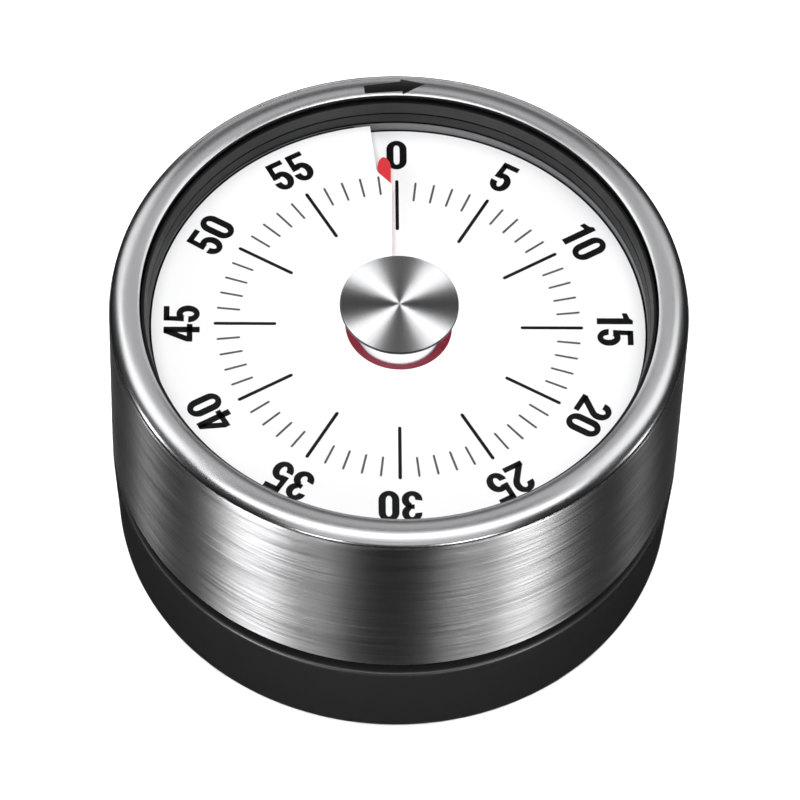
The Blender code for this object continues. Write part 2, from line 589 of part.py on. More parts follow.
def add_rotor():
    """Steel housing with its rolled lip, black liner, lens, gasket, knob, centre boss and the main arbor."""
    axis = add_axis("housing_axis")
    crease_r = OUTER_R - 0.15
    lip_mid = (crease_r + BEZEL_R) / 2
    lip_half = (crease_r - BEZEL_R) / 2

    def lip(count):
        """Points over the rolled lip, from the crease to its inner edge a little higher."""
        points = []
        for i in range(count + 1):
            angle = math.pi * i / count
            lift = INNER_LIFT * (1.0 - math.cos(angle)) / 2
            rise = (CROWN_Z - CREASE_Z - INNER_LIFT / 2) * math.sin(angle)
            points.append((lip_mid + lip_half * math.cos(angle), CREASE_Z + lift + rise))
        return points
    outside = [(OUTER_R, STEEL_BOTTOM_Z), (OUTER_R, CREASE_Z - 0.6), (OUTER_R - 0.3, CREASE_Z - 0.15)] + lip(6)
    inside = [(r, z - STEEL_T * 0.75) for r, z in lip(6)][::-1]
    inside[-1] = (OUTER_R - STEEL_T, CREASE_Z - 1.2)
    inside.append((OUTER_R - STEEL_T, STEEL_BOTTOM_Z))
    add_piece("housing_shell", turned(outside + inside, segments=48), "brushed_steel", axis)

    liner = [
        (NECK_R + 0.4, 17.9), (OUTER_R - STEEL_T - GAP, 17.9), (OUTER_R - STEEL_T - GAP, 44.7), (34.8, 44.7),
        (34.5, 43.3), (36.6, 43.3), (NECK_R + 0.4, 42.7),
    ]
    add_piece("housing_liner", turned(liner, segments=48), "black_matt", axis)
    add_piece("lens", turned(ring(1.9, 36.4, 45.0, 45.7), segments=48), "clear_acrylic", axis)
    add_piece("lens_gasket", turned([(34.9, 46.0), (35.5, 46.0), (35.5, 46.8), (35.3, 46.8)], segments=48),
              "black_matt", axis)
    knob = [(0.0, 46.0), (5.5, 46.0), (5.5, 46.4), (KNOB_R - 0.3, 46.4), (KNOB_R, 46.6), (KNOB_R, KNOB_TOP_Z - 0.2),
            (KNOB_R - 0.2, KNOB_TOP_Z), (0.0, KNOB_TOP_Z)]
    add_piece("knob", turned(knob, segments=48), "knob_metal", axis)
    boss = [(1.9, 40.5), (5.7, 40.5), (5.7, 41.3), (4.7, 42.9), (4.7, 44.7), (1.9, 44.7)]
    add_piece("centre_boss", turned(boss, segments=32), "nylon", axis)
    add_piece("main_arbor", turned(rod(1.5, 5.6, 45.7), segments=16), "plate_steel", axis)
    add_piece("arbor_clip", turned(ring(1.8, 2.6, 5.8, 6.5), segments=16), "spring_steel", axis)
    teeth = [
        polar(radius, -26.0 + 360.0 * (tooth + share) / 16)
        for tooth in range(16)
        for radius, share in ((3.2, 0.1), (4.1, 0.8))
    ]
    ratchet = add_piece("ratchet_wheel", prism(teeth, 15.9, 16.7), "plate_steel", axis)
    drill(ratchet, [(1.8, (0.0, 0.0))], 14.9, 17.7, 16)
    notch_deg = math.degrees(math.atan2(RELEASE_AT[1], RELEASE_AT[0]))
    cam = [polar(6.0, notch_deg + 8.0 + 344.0 * i / 40) for i in range(41)]
    cam += [polar(4.4, notch_deg - 6.0), polar(4.4, notch_deg + 6.0)]
    piece = add_piece("zero_cam", prism(cam, 22.9, 23.9), "plate_steel", axis)
    drill(piece, [(1.8, (0.0, 0.0))], 21.9, 24.9, 16)


def build_timer():
    """Make every piece of the timer."""
    clear_scene()
    add_base()
    add_plates()
    add_train()
    add_escapement()
    add_springs()
    add_alarm()
    add_dial()
    add_red_disc()
    add_rotor()


build_timer()
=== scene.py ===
"""Looks of a sixty-minute kitchen timer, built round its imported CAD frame.

A brushed steel housing with its lens and spun knob turns on a moulded black base. The white dial under the lens is
one turn of a screw surface, and the red disc comes out through its slit. Sizes are in millimetres, angles on the
dial are clock angles in degrees, clockwise from zero at +Y.
"""

import json
import logging
import math
from collections.abc import Callable
from dataclasses import dataclass
from enum import Enum

import bmesh
import bpy
from mathutils import Matrix, Vector

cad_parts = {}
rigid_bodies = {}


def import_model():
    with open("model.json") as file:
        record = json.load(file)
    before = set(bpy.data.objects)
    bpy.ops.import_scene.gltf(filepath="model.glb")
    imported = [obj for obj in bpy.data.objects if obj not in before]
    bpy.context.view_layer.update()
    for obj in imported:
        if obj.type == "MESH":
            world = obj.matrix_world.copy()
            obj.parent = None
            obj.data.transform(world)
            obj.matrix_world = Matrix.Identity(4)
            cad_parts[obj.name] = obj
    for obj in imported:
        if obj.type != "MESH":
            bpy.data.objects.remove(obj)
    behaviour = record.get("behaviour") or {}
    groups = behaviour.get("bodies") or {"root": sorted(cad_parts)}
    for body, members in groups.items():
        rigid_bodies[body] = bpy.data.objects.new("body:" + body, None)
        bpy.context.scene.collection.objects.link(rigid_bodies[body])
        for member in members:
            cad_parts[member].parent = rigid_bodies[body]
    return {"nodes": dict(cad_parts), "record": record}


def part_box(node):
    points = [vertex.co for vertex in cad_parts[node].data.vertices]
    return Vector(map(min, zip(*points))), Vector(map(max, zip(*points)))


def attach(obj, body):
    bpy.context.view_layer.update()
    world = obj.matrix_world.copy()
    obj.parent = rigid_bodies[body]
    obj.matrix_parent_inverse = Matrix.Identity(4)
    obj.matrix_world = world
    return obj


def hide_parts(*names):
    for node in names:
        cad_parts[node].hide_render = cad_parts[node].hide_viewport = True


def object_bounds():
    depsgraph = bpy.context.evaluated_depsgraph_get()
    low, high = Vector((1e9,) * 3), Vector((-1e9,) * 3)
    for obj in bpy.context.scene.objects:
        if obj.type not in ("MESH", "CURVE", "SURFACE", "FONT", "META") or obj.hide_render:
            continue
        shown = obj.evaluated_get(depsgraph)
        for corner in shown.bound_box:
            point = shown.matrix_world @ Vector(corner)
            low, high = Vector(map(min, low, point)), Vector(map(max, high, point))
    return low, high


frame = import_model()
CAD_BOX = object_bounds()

MM = 0.001
ON_AXIS = 1e-6
BUMP_HEIGHT = 0.02
Profile = list[tuple[float, float]]
LOG = logging.getLogger("timer")


# pieces that the studio's lamps are linked to
LIP, KNOB, BOSS = "rolled_lip_skin", "spun_knob_disc", "centre_boss_turning"
CUP, LENS, FLOOR = "base_cup_moulding", "dial_lens", "floor_sheet"


class Body(Enum):
    """Moving bodies of the frame that new pieces ride on."""

    BASE = "base"
    HOUSING = "housing"
    RED_DISC = "red_disc"


# ---------------------------------------------------------------- materials


def linear(code: str) -> tuple[float, float, float, float]:
    """Turns an sRGB hex colour into a linear one.

    Args:
        code: Six hex digits, with or without a leading hash.

    Returns:
        Red, green, blue and alpha as linear numbers.
    """
    shares = [int(code.lstrip("#")[i:i + 2], 16) / 255.0 for i in (0, 2, 4)]
    return (*[s / 12.92 if s <= 0.04045 else ((s + 0.055) / 1.055) ** 2.4 for s in shares], 1.0)


def add_node(tree: bpy.types.NodeTree, kind: str, inputs: dict | None = None, **settings: object) -> bpy.types.Node:
    """Adds a node with its settings, its input values and the links into it.

    Args:
        tree: Node tree that gets the node.
        kind: Node type name.
        inputs: Value or output socket for each input, by name or number.
        settings: Node properties by name.

    Returns:
        The new node.
    """
    node = tree.nodes.new(kind)
    for name, value in settings.items():
        setattr(node, name, value)
    for key, value in (inputs or {}).items():
        if isinstance(value, bpy.types.NodeSocket):
            tree.links.new(value, node.inputs[key])
        else:
            node.inputs[key].default_value = value
    return node


@dataclass(frozen=True)
class Finish:
    """What a piece is made of and how its surface was made."""

    name: str
    colour: str = "#808080"
    roughness: float = 0.4

    def material(self) -> bpy.types.Material:
        """Makes the material the first time it is asked for.

        Returns:
            The material, shared by every piece with this finish.
        """
        made = bpy.data.materials.get(self.name)
        if made is None:
            made = bpy.data.materials.new(self.name)
            made.use_nodes = True
            made.node_tree.nodes.clear()
            surface = self.surface(made.node_tree)
            add_node(made.node_tree, "ShaderNodeOutputMaterial", {"Surface": surface.outputs[0]})
            made.diffuse_color = linear(self.colour)
        return made

    def surface(self, tree: bpy.types.NodeTree) -> bpy.types.Node:
        """Makes the shader. Each kind of finish has its own."""
        raise NotImplementedError

    def uneven(self, tree: bpy.types.NodeTree, pattern: bpy.types.NodeSocket, span: tuple[float, float], gloss: float,
               tint: float, height: bpy.types.NodeSocket, depth: float) -> dict[str, bpy.types.NodeSocket]:
        """Colour and roughness that follow a pattern, and a normal that follows a height.

        Args:
            tree: Node tree of the material.
            pattern: Output that colour and roughness follow.
            span: The pattern's low and high values.
            gloss: How far the roughness goes to either side.
            tint: How much darker the colour is where the pattern is low.
            height: Output that the normal follows.
            depth: Strength of the normal.

        Returns:
            Output for each shader input.
        """
        found = {"Value": pattern, "From Min": span[0], "From Max": span[1]}
        rough = add_node(tree, "ShaderNodeMapRange", {
            **found, "To Min": self.roughness - gloss, "To Max": self.roughness + gloss,
        })
        # darker colour where the pattern is low: painted reflection on brushed metal, a random tone on grained parts
        shade = add_node(tree, "ShaderNodeMapRange", {**found, "To Min": 1.0 - tint, "To Max": 1.0})
        colour = add_node(tree, "ShaderNodeVectorMath",
                          {0: linear(self.colour)[:3], "Scale": shade.outputs[0]}, operation="SCALE")
        bump = add_node(tree, "ShaderNodeBump", {"Height": height, "Strength": depth, "Distance": BUMP_HEIGHT * MM})
        return {"Base Color": colour.outputs[0], "Roughness": rough.outputs[0], "Normal": bump.outputs[0]}


@dataclass(frozen=True)
class BrushedMetal(Finish):
    """Metal brushed in circles round the timer's axis.

    The lines run round the wall, the lip and the knob. They keep a lamp's width along the line and smear it across,
    so it shows as a tall bright band with soft streaks. Real brushed lines are too fine to show in the render, so
    they are drawn as coarse as they need to be seen, with a broader set over them.
    """

    anisotropic: float = 0.9
    line: float = 0.30
    line_length: float = 9.0
    streak: float = 0.07
    tint: float = 0.12
    scratch: float = 0.05
    broad_width: float = 4.0
    broad_length: float = 5.0
    broad_share: float = 0.12
    face_weight: float = 1.7
    span: tuple[float, float] = (0.36, 0.76)

    def surface(self, tree: bpy.types.NodeTree) -> bpy.types.Node:
        """Metal with a circular tangent, and streaks in its roughness, colour and height.

        Args:
            tree: Node tree of the material.

        Returns:
            The shader node.
        """
        place = add_node(tree, "ShaderNodeTexCoord").outputs["Object"]
        split = add_node(tree, "ShaderNodeSeparateXYZ", {0: place})
        flat = add_node(tree, "ShaderNodeCombineXYZ", {0: split.outputs[0], 1: split.outputs[1]}).outputs[0]
        radius = add_node(tree, "ShaderNodeVectorMath", {0: flat}, operation="LENGTH").outputs["Value"]
        # one coordinate that changes both up the wall and across the lip and the knob's face
        across = add_node(tree, "ShaderNodeMath", {0: radius, 1: self.face_weight, 2: split.outputs[2]},
                          operation="MULTIPLY_ADD").outputs[0]
        lines = []
        for line, length in ((self.line, self.line_length),
                             (self.line * self.broad_width, self.line_length * self.broad_length)):
            scaled = [add_node(tree, "ShaderNodeMath", {0: socket, 1: 1.0 / (size * MM)}, operation="MULTIPLY")
                      for socket, size in ((split.outputs[0], length), (split.outputs[1], length), (across, line))]
            stretched = add_node(tree, "ShaderNodeCombineXYZ",
                                 {axis: node.outputs[0] for axis, node in enumerate(scaled)})
            lines.append(add_node(tree, "ShaderNodeTexNoise", {
                "Vector": stretched.outputs[0], "Scale": 1.0, "Detail": 3.0, "Roughness": 0.65,
            }).outputs[0])
        both = add_node(tree, "ShaderNodeMath", {0: lines[1], 1: self.broad_share, 2: lines[0]},
                        operation="MULTIPLY_ADD").outputs[0]
        round_axis = add_node(tree, "ShaderNodeVectorMath", {0: (0.0, 0.0, 1.0), 1: place}, operation="CROSS_PRODUCT")
        tangent = add_node(tree, "ShaderNodeVectorTransform", {0: round_axis.outputs[0]}, vector_type="VECTOR",
                           convert_from="OBJECT", convert_to="WORLD")
        along = add_node(tree, "ShaderNodeVectorMath", {0: tangent.outputs[0]}, operation="NORMALIZE")
        # the tint darkens the colour along the streaks: a painted reflection of the dark room
        return add_node(tree, "ShaderNodeBsdfPrincipled", {
            **self.uneven(tree, both, self.span, self.streak, self.tint, lines[0], self.scratch), "Metallic": 1.0,
            "Anisotropic": self.anisotropic, "Anisotropic Rotation": 0.25, "Tangent": along.outputs[0],
        })


@dataclass(frozen=True)
class Grained(Finish):
    """Grained surface of a moulded, printed or plated part.

    The tool, the screen or the bath leaves a fine even grain, which breaks a lamp's reflection into a soft sheen, and
    the gloss drifts a little over the part. Real grain is too fine to show in the render, so it is drawn as coarse as
    it needs to be seen.
    """

    grain: float = 0.35
    grain_depth: float = 0.12
    drift: float = 0.04
    mottle: float = 0.06
    metallic: float = 0.0
    cloud: float = 9.0
    span: tuple[float, float] = (0.3, 0.7)

    def surface(self, tree: bpy.types.NodeTree) -> bpy.types.Node:
        """Surface with grain in its height and slow drift in its gloss.

        Args:
            tree: Node tree of the material.

        Returns:
            The shader node.
        """
        place = add_node(tree, "ShaderNodeTexCoord").outputs["Object"]
        grain = add_node(tree, "ShaderNodeTexNoise", {
            "Vector": place, "Scale": 1.0 / (self.grain * MM), "Detail": 2.0, "Roughness": 0.6,
        }).outputs[0]
        cloud = add_node(tree, "ShaderNodeTexNoise", {
            "Vector": place, "Scale": 1.0 / (self.cloud * MM), "Detail": 3.0, "Roughness": 0.55,
        }).outputs[0]
        return add_node(tree, "ShaderNodeBsdfPrincipled", {
            **self.uneven(tree, cloud, self.span, self.drift, self.mottle, grain, self.grain_depth),
            "Metallic": self.metallic,
        })


@dataclass(frozen=True)
class CastAcrylic(Finish):
    """Clear cast acrylic sheet, which shows only a thin gloss that grows as it is seen more from the side."""

    ior: float = 1.49

    def surface(self, tree: bpy.types.NodeTree) -> bpy.types.Node:
        """Clear sheet mixed with a gloss by Fresnel.

        Args:
            tree: Node tree of the material.

        Returns:
            The shader node.
        """
        clear = add_node(tree, "ShaderNodeBsdfTransparent", {"Color": linear(self.colour)})
        gloss = add_node(tree, "ShaderNodeBsdfGlossy", {"Roughness": self.roughness})
        facing = add_node(tree, "ShaderNodeFresnel", {"IOR": self.ior})
        side = add_node(tree, "ShaderNodeNewGeometry").outputs["Backfacing"]
        # the sheet's far face stays clear, because light that came in at its near face always gets out there
        near = add_node(tree, "ShaderNodeMath", {0: 1.0, 1: side}, operation="SUBTRACT").outputs[0]
        share = add_node(tree, "ShaderNodeMath", {0: facing.outputs[0], 1: near}, operation="MULTIPLY").outputs[0]
        return add_node(tree, "ShaderNodeMixShader", {0: share, 1: clear.outputs[0], 2: gloss.outputs[0]})


# stainless sheet, belt brushed: tall bright bands with soft streaks; its colour darkens along the streaks by the tint,
# a painted reflection of the dark room
WALL_STEEL = BrushedMetal("brushed_stainless_steel", "#DEDEDF", 0.38, anisotropic=0.95, line=0.13, line_length=14.0,
                          streak=0.09, tint=0.30)
# the same sheet rolled over and finely brushed: a narrow bright ring with almost no streak
LIP_STEEL = BrushedMetal("fine_brushed_stainless_lip", "#DADADC", 0.24, anisotropic=0.5, line=0.15, line_length=40.0,
                         streak=0.02, tint=0.08, scratch=0.01)
# steel spun in circles: bright wedges that meet at the knob's centre
KNOB_STEEL = BrushedMetal("spun_steel_knob", "#E4E4E6", 0.42, anisotropic=0.95, line=0.22, line_length=30.0,
                          streak=0.03, tint=0.08)
# the knob's turned edge and underside, the same steel as its face: a darker colour, painted shade beside the bright
# face
KNOB_EDGE_PAINTED_SHADE = BrushedMetal("turned_knob_edge", "#3C3C3F", 0.35, anisotropic=0.5, line=0.2, line_length=20.0,
                          streak=0.03, tint=0.08)
# moulded ABS: near black with a low, even sheen
BASE_ABS = Grained("moulded_black_abs", "#19191A", 0.34, drift=0.015)
# matt moulded ABS: black with hardly any sheen
LINER_ABS = Grained("matt_black_abs", "#0E0E0F", 0.60)
# moulded grey ABS: a dull grey shelf
TRAY_ABS = Grained("moulded_grey_tray", "#6E6E70", 0.55)
# enamelled sheet: smooth, even white
DIAL_FILM = Grained("white_enamelled_dial", "#FAFAFB", 0.42, grain=0.5, grain_depth=0.02, mottle=0.01)
# screen printed and pad printed inks: flat, thin and a little dull
BLACK_INK = Grained("screen_printed_black_ink", "#0D0D0E", 0.55, grain=0.2, grain_depth=0.05)
GREY_INK = Grained("screen_printed_grey_ink", "#55555A", 0.55, grain=0.2, grain_depth=0.05)
ARROW_INK = Grained("pad_printed_black_ink", "#0C0C0C", 0.40, grain=0.2, grain_depth=0.05)
# styrene, rolled as film and moulded as the hub: glossy bright red, and a deeper red round the boss, painted shade
# under the knob
RED_FILM = Grained("red_styrene_film", "#E03A42", 0.35, grain=0.5, grain_depth=0.02, mottle=0.05)
RED_PAINTED_SHADE = Grained("moulded_red_styrene_hub", "#7C2431", 0.30, grain=0.5, grain_depth=0.02, mottle=0.12)
# cast acrylic: clear, with a thin gloss at a low view
LENS_ACRYLIC = CastAcrylic("cast_clear_acrylic", "#FCFCFC", 0.03)
# turned nylon: milky white with a soft sheen
BOSS_NYLON = Grained("turned_white_nylon", "#EFEBF4", 0.30, grain=0.4, grain_depth=0.03)
# the movement's metals: grey zinc plate, blue tempered steel, yellow cut brass, warm bright nickel
PLATED_STEEL = Grained("zinc_plated_steel", "#B4B6B8", 0.32, grain=0.3, grain_depth=0.06, metallic=1.0)
SPRING_STEEL = Grained("blued_spring_steel", "#4B5560", 0.30, grain=0.25, grain_depth=0.06, metallic=1.0)
CUT_BRASS = Grained("cut_brass", "#CDA75A", 0.30, grain=0.3, grain_depth=0.06, metallic=1.0)
BELL_STEEL = Grained("nickel_plated_bell_steel", "#C6C3BC", 0.22, grain=0.5, grain_depth=0.04, metallic=1.0)
MAGNET_NICKEL = Grained("nickel_plated_magnet", "#BDBBB6", 0.25, grain=0.4, grain_depth=0.04, metallic=1.0)
# moulded rubber: dull dark grey
FOOT_RUBBER = Grained("moulded_black_rubber", "#1B1B1C", 0.75, grain=0.3, grain_depth=0.2)
# uncoated paper: flat white with no sheen
FLOOR_PAPER = Grained("white_paper_sweep", "#F4F4F4", 0.9, grain=0.6, grain_depth=0.0, mottle=0.0)

# the frame's own nodes take these by their record's slot
SLOT_FINISHES = {
    "brushed_stainless": WALL_STEEL, "black_abs": BASE_ABS, "black_inner": LINER_ABS, "dial_white": DIAL_FILM,
    "red_film": RED_FILM, "clear_acrylic": LENS_ACRYLIC, "white_nylon": BOSS_NYLON, "spun_knob": KNOB_STEEL,
    "plate_steel": PLATED_STEEL, "spring_steel": SPRING_STEEL, "brass": CUT_BRASS, "bell_steel": BELL_STEEL,
    "black_rubber": FOOT_RUBBER, "magnet_nickel": MAGNET_NICKEL,
}


# ---------------------------------------------------------------- shapes


def box_mm(node: str) -> tuple[Vector, Vector]:
    """Lowest and highest corner of a CAD node, in millimetres."""
    low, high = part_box(node)
    return low / MM, high / MM


def softened(corners: list[tuple], steps: int = 4) -> Profile:
    """Rounds the corners of a closed outline.

    Args:
        corners: Points as (radius, height) or (radius, height, how far back the rounding starts).
        steps: Number of short edges for each rounded corner.

    Returns:
        The outline with its corners rounded.
    """
    points: Profile = []
    most = 0.49  # of an edge, so that two roundings never meet on it
    for i, corner in enumerate(corners):
        here = Vector(corner[:2])
        if len(corner) < 3:
            points.append((here.x, here.y))
            continue
        before, after = Vector(corners[i - 1][:2]), Vector(corners[(i + 1) % len(corners)][:2])
        back = min(corner[2], (before - here).length * most)
        on = min(corner[2], (after - here).length * most)
        start = here + (before - here).normalized() * back
        end = here + (after - here).normalized() * on
        for step in range(steps + 1):
            t = step / steps
            point = start * (1 - t) ** 2 + here * 2 * t * (1 - t) + end * t ** 2
            points.append((point.x, point.y))
    return points


def as_mesh(name: str, shape: bmesh.types.BMesh) -> bpy.types.Mesh:
    """Makes a mesh in metres from a shape in millimetres.

    Args:
        name: Name of the mesh.
        shape: The shape, which is used up.

    Returns:
        The mesh.
    """
    mesh = bpy.data.meshes.new(name)
    shape.to_mesh(mesh)
    shape.free()
    mesh.transform(Matrix.Scale(MM, 4))
    return mesh


def new_piece(name: str, shape: bmesh.types.BMesh, sharp: float = 35.0) -> bpy.types.Object:
    """Makes a piece from a shape in millimetres, with its faces outward and its place in its mesh.

    Args:
        name: Name of the piece.
        shape: The shape, which is used up.
        sharp: Edges that bend more than this many degrees stay sharp.

    Returns:
        The piece, at the origin.
    """
    bmesh.ops.recalc_face_normals(shape, faces=shape.faces[:])
    mesh = as_mesh(name, shape)
    mesh.shade_smooth()
    mesh.set_sharp_from_angle(angle=math.radians(sharp))
    piece = bpy.data.objects.new(name, mesh)
    bpy.context.scene.collection.objects.link(piece)
    return piece


def skinned(shape: bmesh.types.BMesh, rows: list[list[bmesh.types.BMVert]], closed: bool) -> None:
    """Joins rows of points with faces, and covers both ends of an open run.

    Args:
        shape: Shape that gets the faces.
        rows: Loops of points, one after another.
        closed: Whether the last row joins the first.
    """
    count = len(rows[0])
    for a, b in zip(rows, rows[1:] + (rows[:1] if closed else [])):
        for i in range(count):
            j = (i + 1) % count
            corners = list(dict.fromkeys((a[i], a[j], b[j], b[i])))
            if len(corners) > 2:
                shape.faces.new(corners)
    if not closed:
        shape.faces.new(rows[0])
        shape.faces.new(rows[-1][::-1])


def turned(name: str, outline: Profile, segments: int = 192, sharp: float = 35.0) -> bpy.types.Object:
    """Turns a closed outline about the timer's axis.

    Args:
        name: Name of the piece.
        outline: Points as (radius, height) in millimetres.
        segments: Number of steps round the axis.
        sharp: Edges that bend more than this many degrees stay sharp.

    Returns:
        The turned piece.
    """
    shape = bmesh.new()
    centres = {i: shape.verts.new((0, 0, z)) for i, (r, z) in enumerate(outline) if r < ON_AXIS}
    rows = []
    for step in range(segments):
        angle = 2 * math.pi * step / segments
        rows.append([
            centres.get(i) or shape.verts.new((r * math.sin(angle), r * math.cos(angle), z))
            for i, (r, z) in enumerate(outline)
        ])
    skinned(shape, rows, closed=True)
    return new_piece(name, shape, sharp)


def dressed(piece: bpy.types.Object, finish: Finish, body: Body, slot: str, *nodes: str) -> bpy.types.Object:
    """Gives a piece its material, its body and the CAD nodes it stands for.

    Args:
        piece: The piece.
        finish: Its finish.
        body: The body it rides on.
        slot: The record's material slot; not used.
        nodes: CAD nodes that it stands for.

    Returns:
        The piece.
    """
    piece.data.materials.clear()
    piece.data.materials.append(finish.material())
    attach(piece, body.value)
    if nodes:
        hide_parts(*nodes)
    LOG.info("%s: %s, %d faces", piece.name, finish.name, len(piece.data.polygons))
    return piece


def part_dressed(piece: bpy.types.Object, finish: Finish, chosen: Callable[[bpy.types.MeshPolygon], bool]) -> None:
    """Gives some faces of a piece a second finish.

    Args:
        piece: The piece.
        finish: Their finish.
        chosen: Tells whether a face gets it.
    """
    piece.data.materials.append(finish.material())
    for face in piece.data.polygons:
        face.material_index = int(chosen(face))


def new_tree(name: str, inputs: dict[str, str]) -> tuple[bpy.types.NodeTree, bpy.types.Node]:
    """Starts a geometry tree with named inputs.

    Args:
        name: Name of the tree.
        inputs: Socket type for each input's name.

    Returns:
        The tree and its input node.
    """
    tree = bpy.data.node_groups.new(name, "GeometryNodeTree")
    for label, kind in inputs.items():
        tree.interface.new_socket(label, in_out="INPUT", socket_type=kind)
    tree.interface.new_socket("Geometry", in_out="OUTPUT", socket_type="NodeSocketGeometry")
    return tree, add_node(tree, "NodeGroupInput")


def end_tree(tree: bpy.types.NodeTree, instances: bpy.types.NodeSocket, material: bpy.types.NodeSocket) -> None:
    """Ends a geometry tree in Realize Instances and Set Material.

    Args:
        tree: The tree.
        instances: Output that holds the instances.
        material: Output that holds the material.
    """
    real = add_node(tree, "GeometryNodeRealizeInstances", {0: instances})
    coated = add_node(tree, "GeometryNodeSetMaterial", {"Geometry": real.outputs[0], "Material": material})
    add_node(tree, "NodeGroupOutput", {0: coated.outputs[0]})


def grown(name: str, tree: bpy.types.NodeTree, source: bpy.types.Mesh, values: dict[str, object]) -> bpy.types.Object:
    """Runs a geometry tree on a mesh and keeps the result as a plain mesh.

    Args:
        name: Name of the piece.
        tree: The geometry tree.
        source: Mesh that goes in.
        values: Value for each named input.

    Returns:
        The piece, with no modifier.
    """
    piece = bpy.data.objects.new(name, source)
    bpy.context.scene.collection.objects.link(piece)
    run = piece.modifiers.new("grow", "NODES")
    run.node_group = tree
    sockets = {item.name: item.identifier for item in tree.interface.items_tree if item.in_out == "INPUT"}
    for label, value in values.items():
        run[sockets[label]] = value
    evaluated = piece.evaluated_get(bpy.context.evaluated_depsgraph_get())
    plain = bpy.data.meshes.new_from_object(evaluated)
    piece.modifiers.remove(run)
    piece.data = plain
    plain.name = name
    return piece


# ---------------------------------------------------------------- dial


@dataclass
class Dial:
    """White dial on its grey tray, with its ticks and numerals, and the red disc that turns through its slit."""

    foot: float = 41.3
    rise: float = 1.5
    sheet: float = 0.25
    sheet_steps: int = 240
    outer: float = 34.2
    hole: float = 7.4
    red_inner: float = 6.0
    red_outer: float = 24.9
    slit_aside: float = 0.75
    notch_outer: float = 23.8
    notch_corner: float = 26.0
    notch_deg: float = 353.7
    notch_round: tuple[tuple[float, float], ...] = ((0.08, 0.5), (0.4, 0.0))
    start_deg: float = -8.4
    red_start_deg: float = 12.0
    red_steps: int = 200
    lobe_outer: float = 29.15
    lobe_start_deg: float = 354.35
    lobe_rise: float = 1.6
    lobe_power: float = 0.6
    lobe_steps: int = 12
    hub_outer: float = 7.0
    hub_heights: tuple[float, float] = (40.2, 40.8)
    shade_outer: float = 8.4
    tray_hole: float = 2.2
    tray_outer: float = 35.2
    tray_mouth: float = 34.62
    tray_bevel: float = 1.2
    tray_floor: float = 40.0
    ledge_inner: float = 32.4
    ledge_outer: float = 34.5
    ledge_gap: float = 0.3
    ledge_end: float = 349.8
    ledge_steps: int = 180
    tick_count: int = 60
    tick_every: int = 5
    ink: float = 0.03
    ink_foot: float = -0.04
    numeral_foot: float = 27.5
    numeral_height: float = 5.0
    numeral_gap: float = 3.15

    def height(self, clock: float) -> float:
        """Height of the dial's middle at a clock angle."""
        return self.foot + self.rise * clock / 360.0

    def point(self, radius: float, clock: float, drop: float = 0.0) -> tuple[float, float, float]:
        """Point on the screw surface.

        Args:
            radius: Distance from the axis.
            clock: Clock angle in degrees.
            drop: How far under the dial's middle.

        Returns:
            Its x, y and z in millimetres.
        """
        angle = math.radians(clock)
        return (radius * math.sin(angle), radius * math.cos(angle), self.height(clock) - drop)

    def edge_deg(self, radius: float, aside: float) -> float:
        """Clock angle of the slit's edge at a radius, a little before the zero line."""
        return 360.0 - math.degrees(math.asin(aside / radius))

    def sheet_shape(self, inner: float, rim: list[tuple[float, float]], aside: float, drop: float) -> bmesh.types.BMesh:
        """Thin sheet along the screw surface, from its first rim point to its last.

        Args:
            inner: Radius of its hole.
            rim: Points as (clock angle, outer radius).
            aside: How far before the zero line its last edge runs.
            drop: How far under the dial it lies.

        Returns:
            The sheet's shape.
        """
        start, end = rim[0][0], rim[-1][0]
        share = (self.edge_deg(inner, aside) - start) / (end - start)
        shape = bmesh.new()
        rows = []
        for deg, outer in rim:
            near = start + (deg - start) * share
            between = near + (deg - near) * (self.shade_outer - inner) / (outer - inner)
            corners = ((inner, near, 0.5), (self.shade_outer, between, 0.5), (outer, deg, 0.5),
                       (outer, deg, -0.5), (self.shade_outer, between, -0.5), (inner, near, -0.5))
            rows.append([shape.verts.new(self.point(r, at, drop + side * self.sheet)) for r, at, side in corners])
        skinned(shape, rows, closed=False)
        return shape

    def dial_sheet(self) -> None:
        """White sheet with the notch beside its slit."""
        steps = self.sheet_steps
        rim = [(self.start_deg + (self.notch_deg - self.start_deg) * i / steps, self.outer) for i in range(steps + 1)]
        rim += [(self.notch_deg + on, self.notch_corner + out) for on, out in self.notch_round]
        rim += [(self.edge_deg(self.notch_outer, self.slit_aside), self.notch_outer)]
        piece = new_piece("dial_face", self.sheet_shape(self.hole, rim, self.slit_aside, 0.0))
        dressed(piece, DIAL_FILM, Body.BASE, "dial_white", "dial")

    def red_sheet(self) -> None:
        """Red sheet half a pitch down, with the round lobe that shows in the notch, and its hub."""
        aside = self.slit_aside + 0.1
        end_r = self.lobe_outer - self.lobe_rise
        end = self.edge_deg(end_r, aside)
        first, steps = self.red_start_deg, self.red_steps
        rim = [(first + (self.lobe_start_deg - first) * i / steps, self.red_outer) for i in range(steps + 1)]
        for i in range(self.lobe_steps + 1):
            share = i / self.lobe_steps
            lift = self.lobe_rise * math.sin(math.pi * share) ** self.lobe_power
            # starts a hair past the round edge's last point, so that no two points meet
            rim.append((self.lobe_start_deg + 0.02 + share * (end - self.lobe_start_deg), end_r + lift))
        shape = self.sheet_shape(self.red_inner, rim, aside, self.rise / 2)
        sheet = new_piece("red_disc_sheet", shape)
        dressed(sheet, RED_FILM, Body.RED_DISC, "red_film", "red_disc")
        # the sheet inside the shade ring and the hub take the deeper red: painted shade under the knob
        shade = self.shade_outer * MM
        part_dressed(sheet, RED_PAINTED_SHADE, lambda face: len(face.vertices) == 4 and face.center.xy.length < shade)
        inner, outer, (low, high) = self.red_inner, self.hub_outer, self.hub_heights
        outline = softened([(inner, low), (outer, low), (outer, high, 0.15), (inner, high, 0.15)])
        hub = turned("red_disc_hub", outline, 96)
        dressed(hub, RED_PAINTED_SHADE, Body.RED_DISC, "red_film")

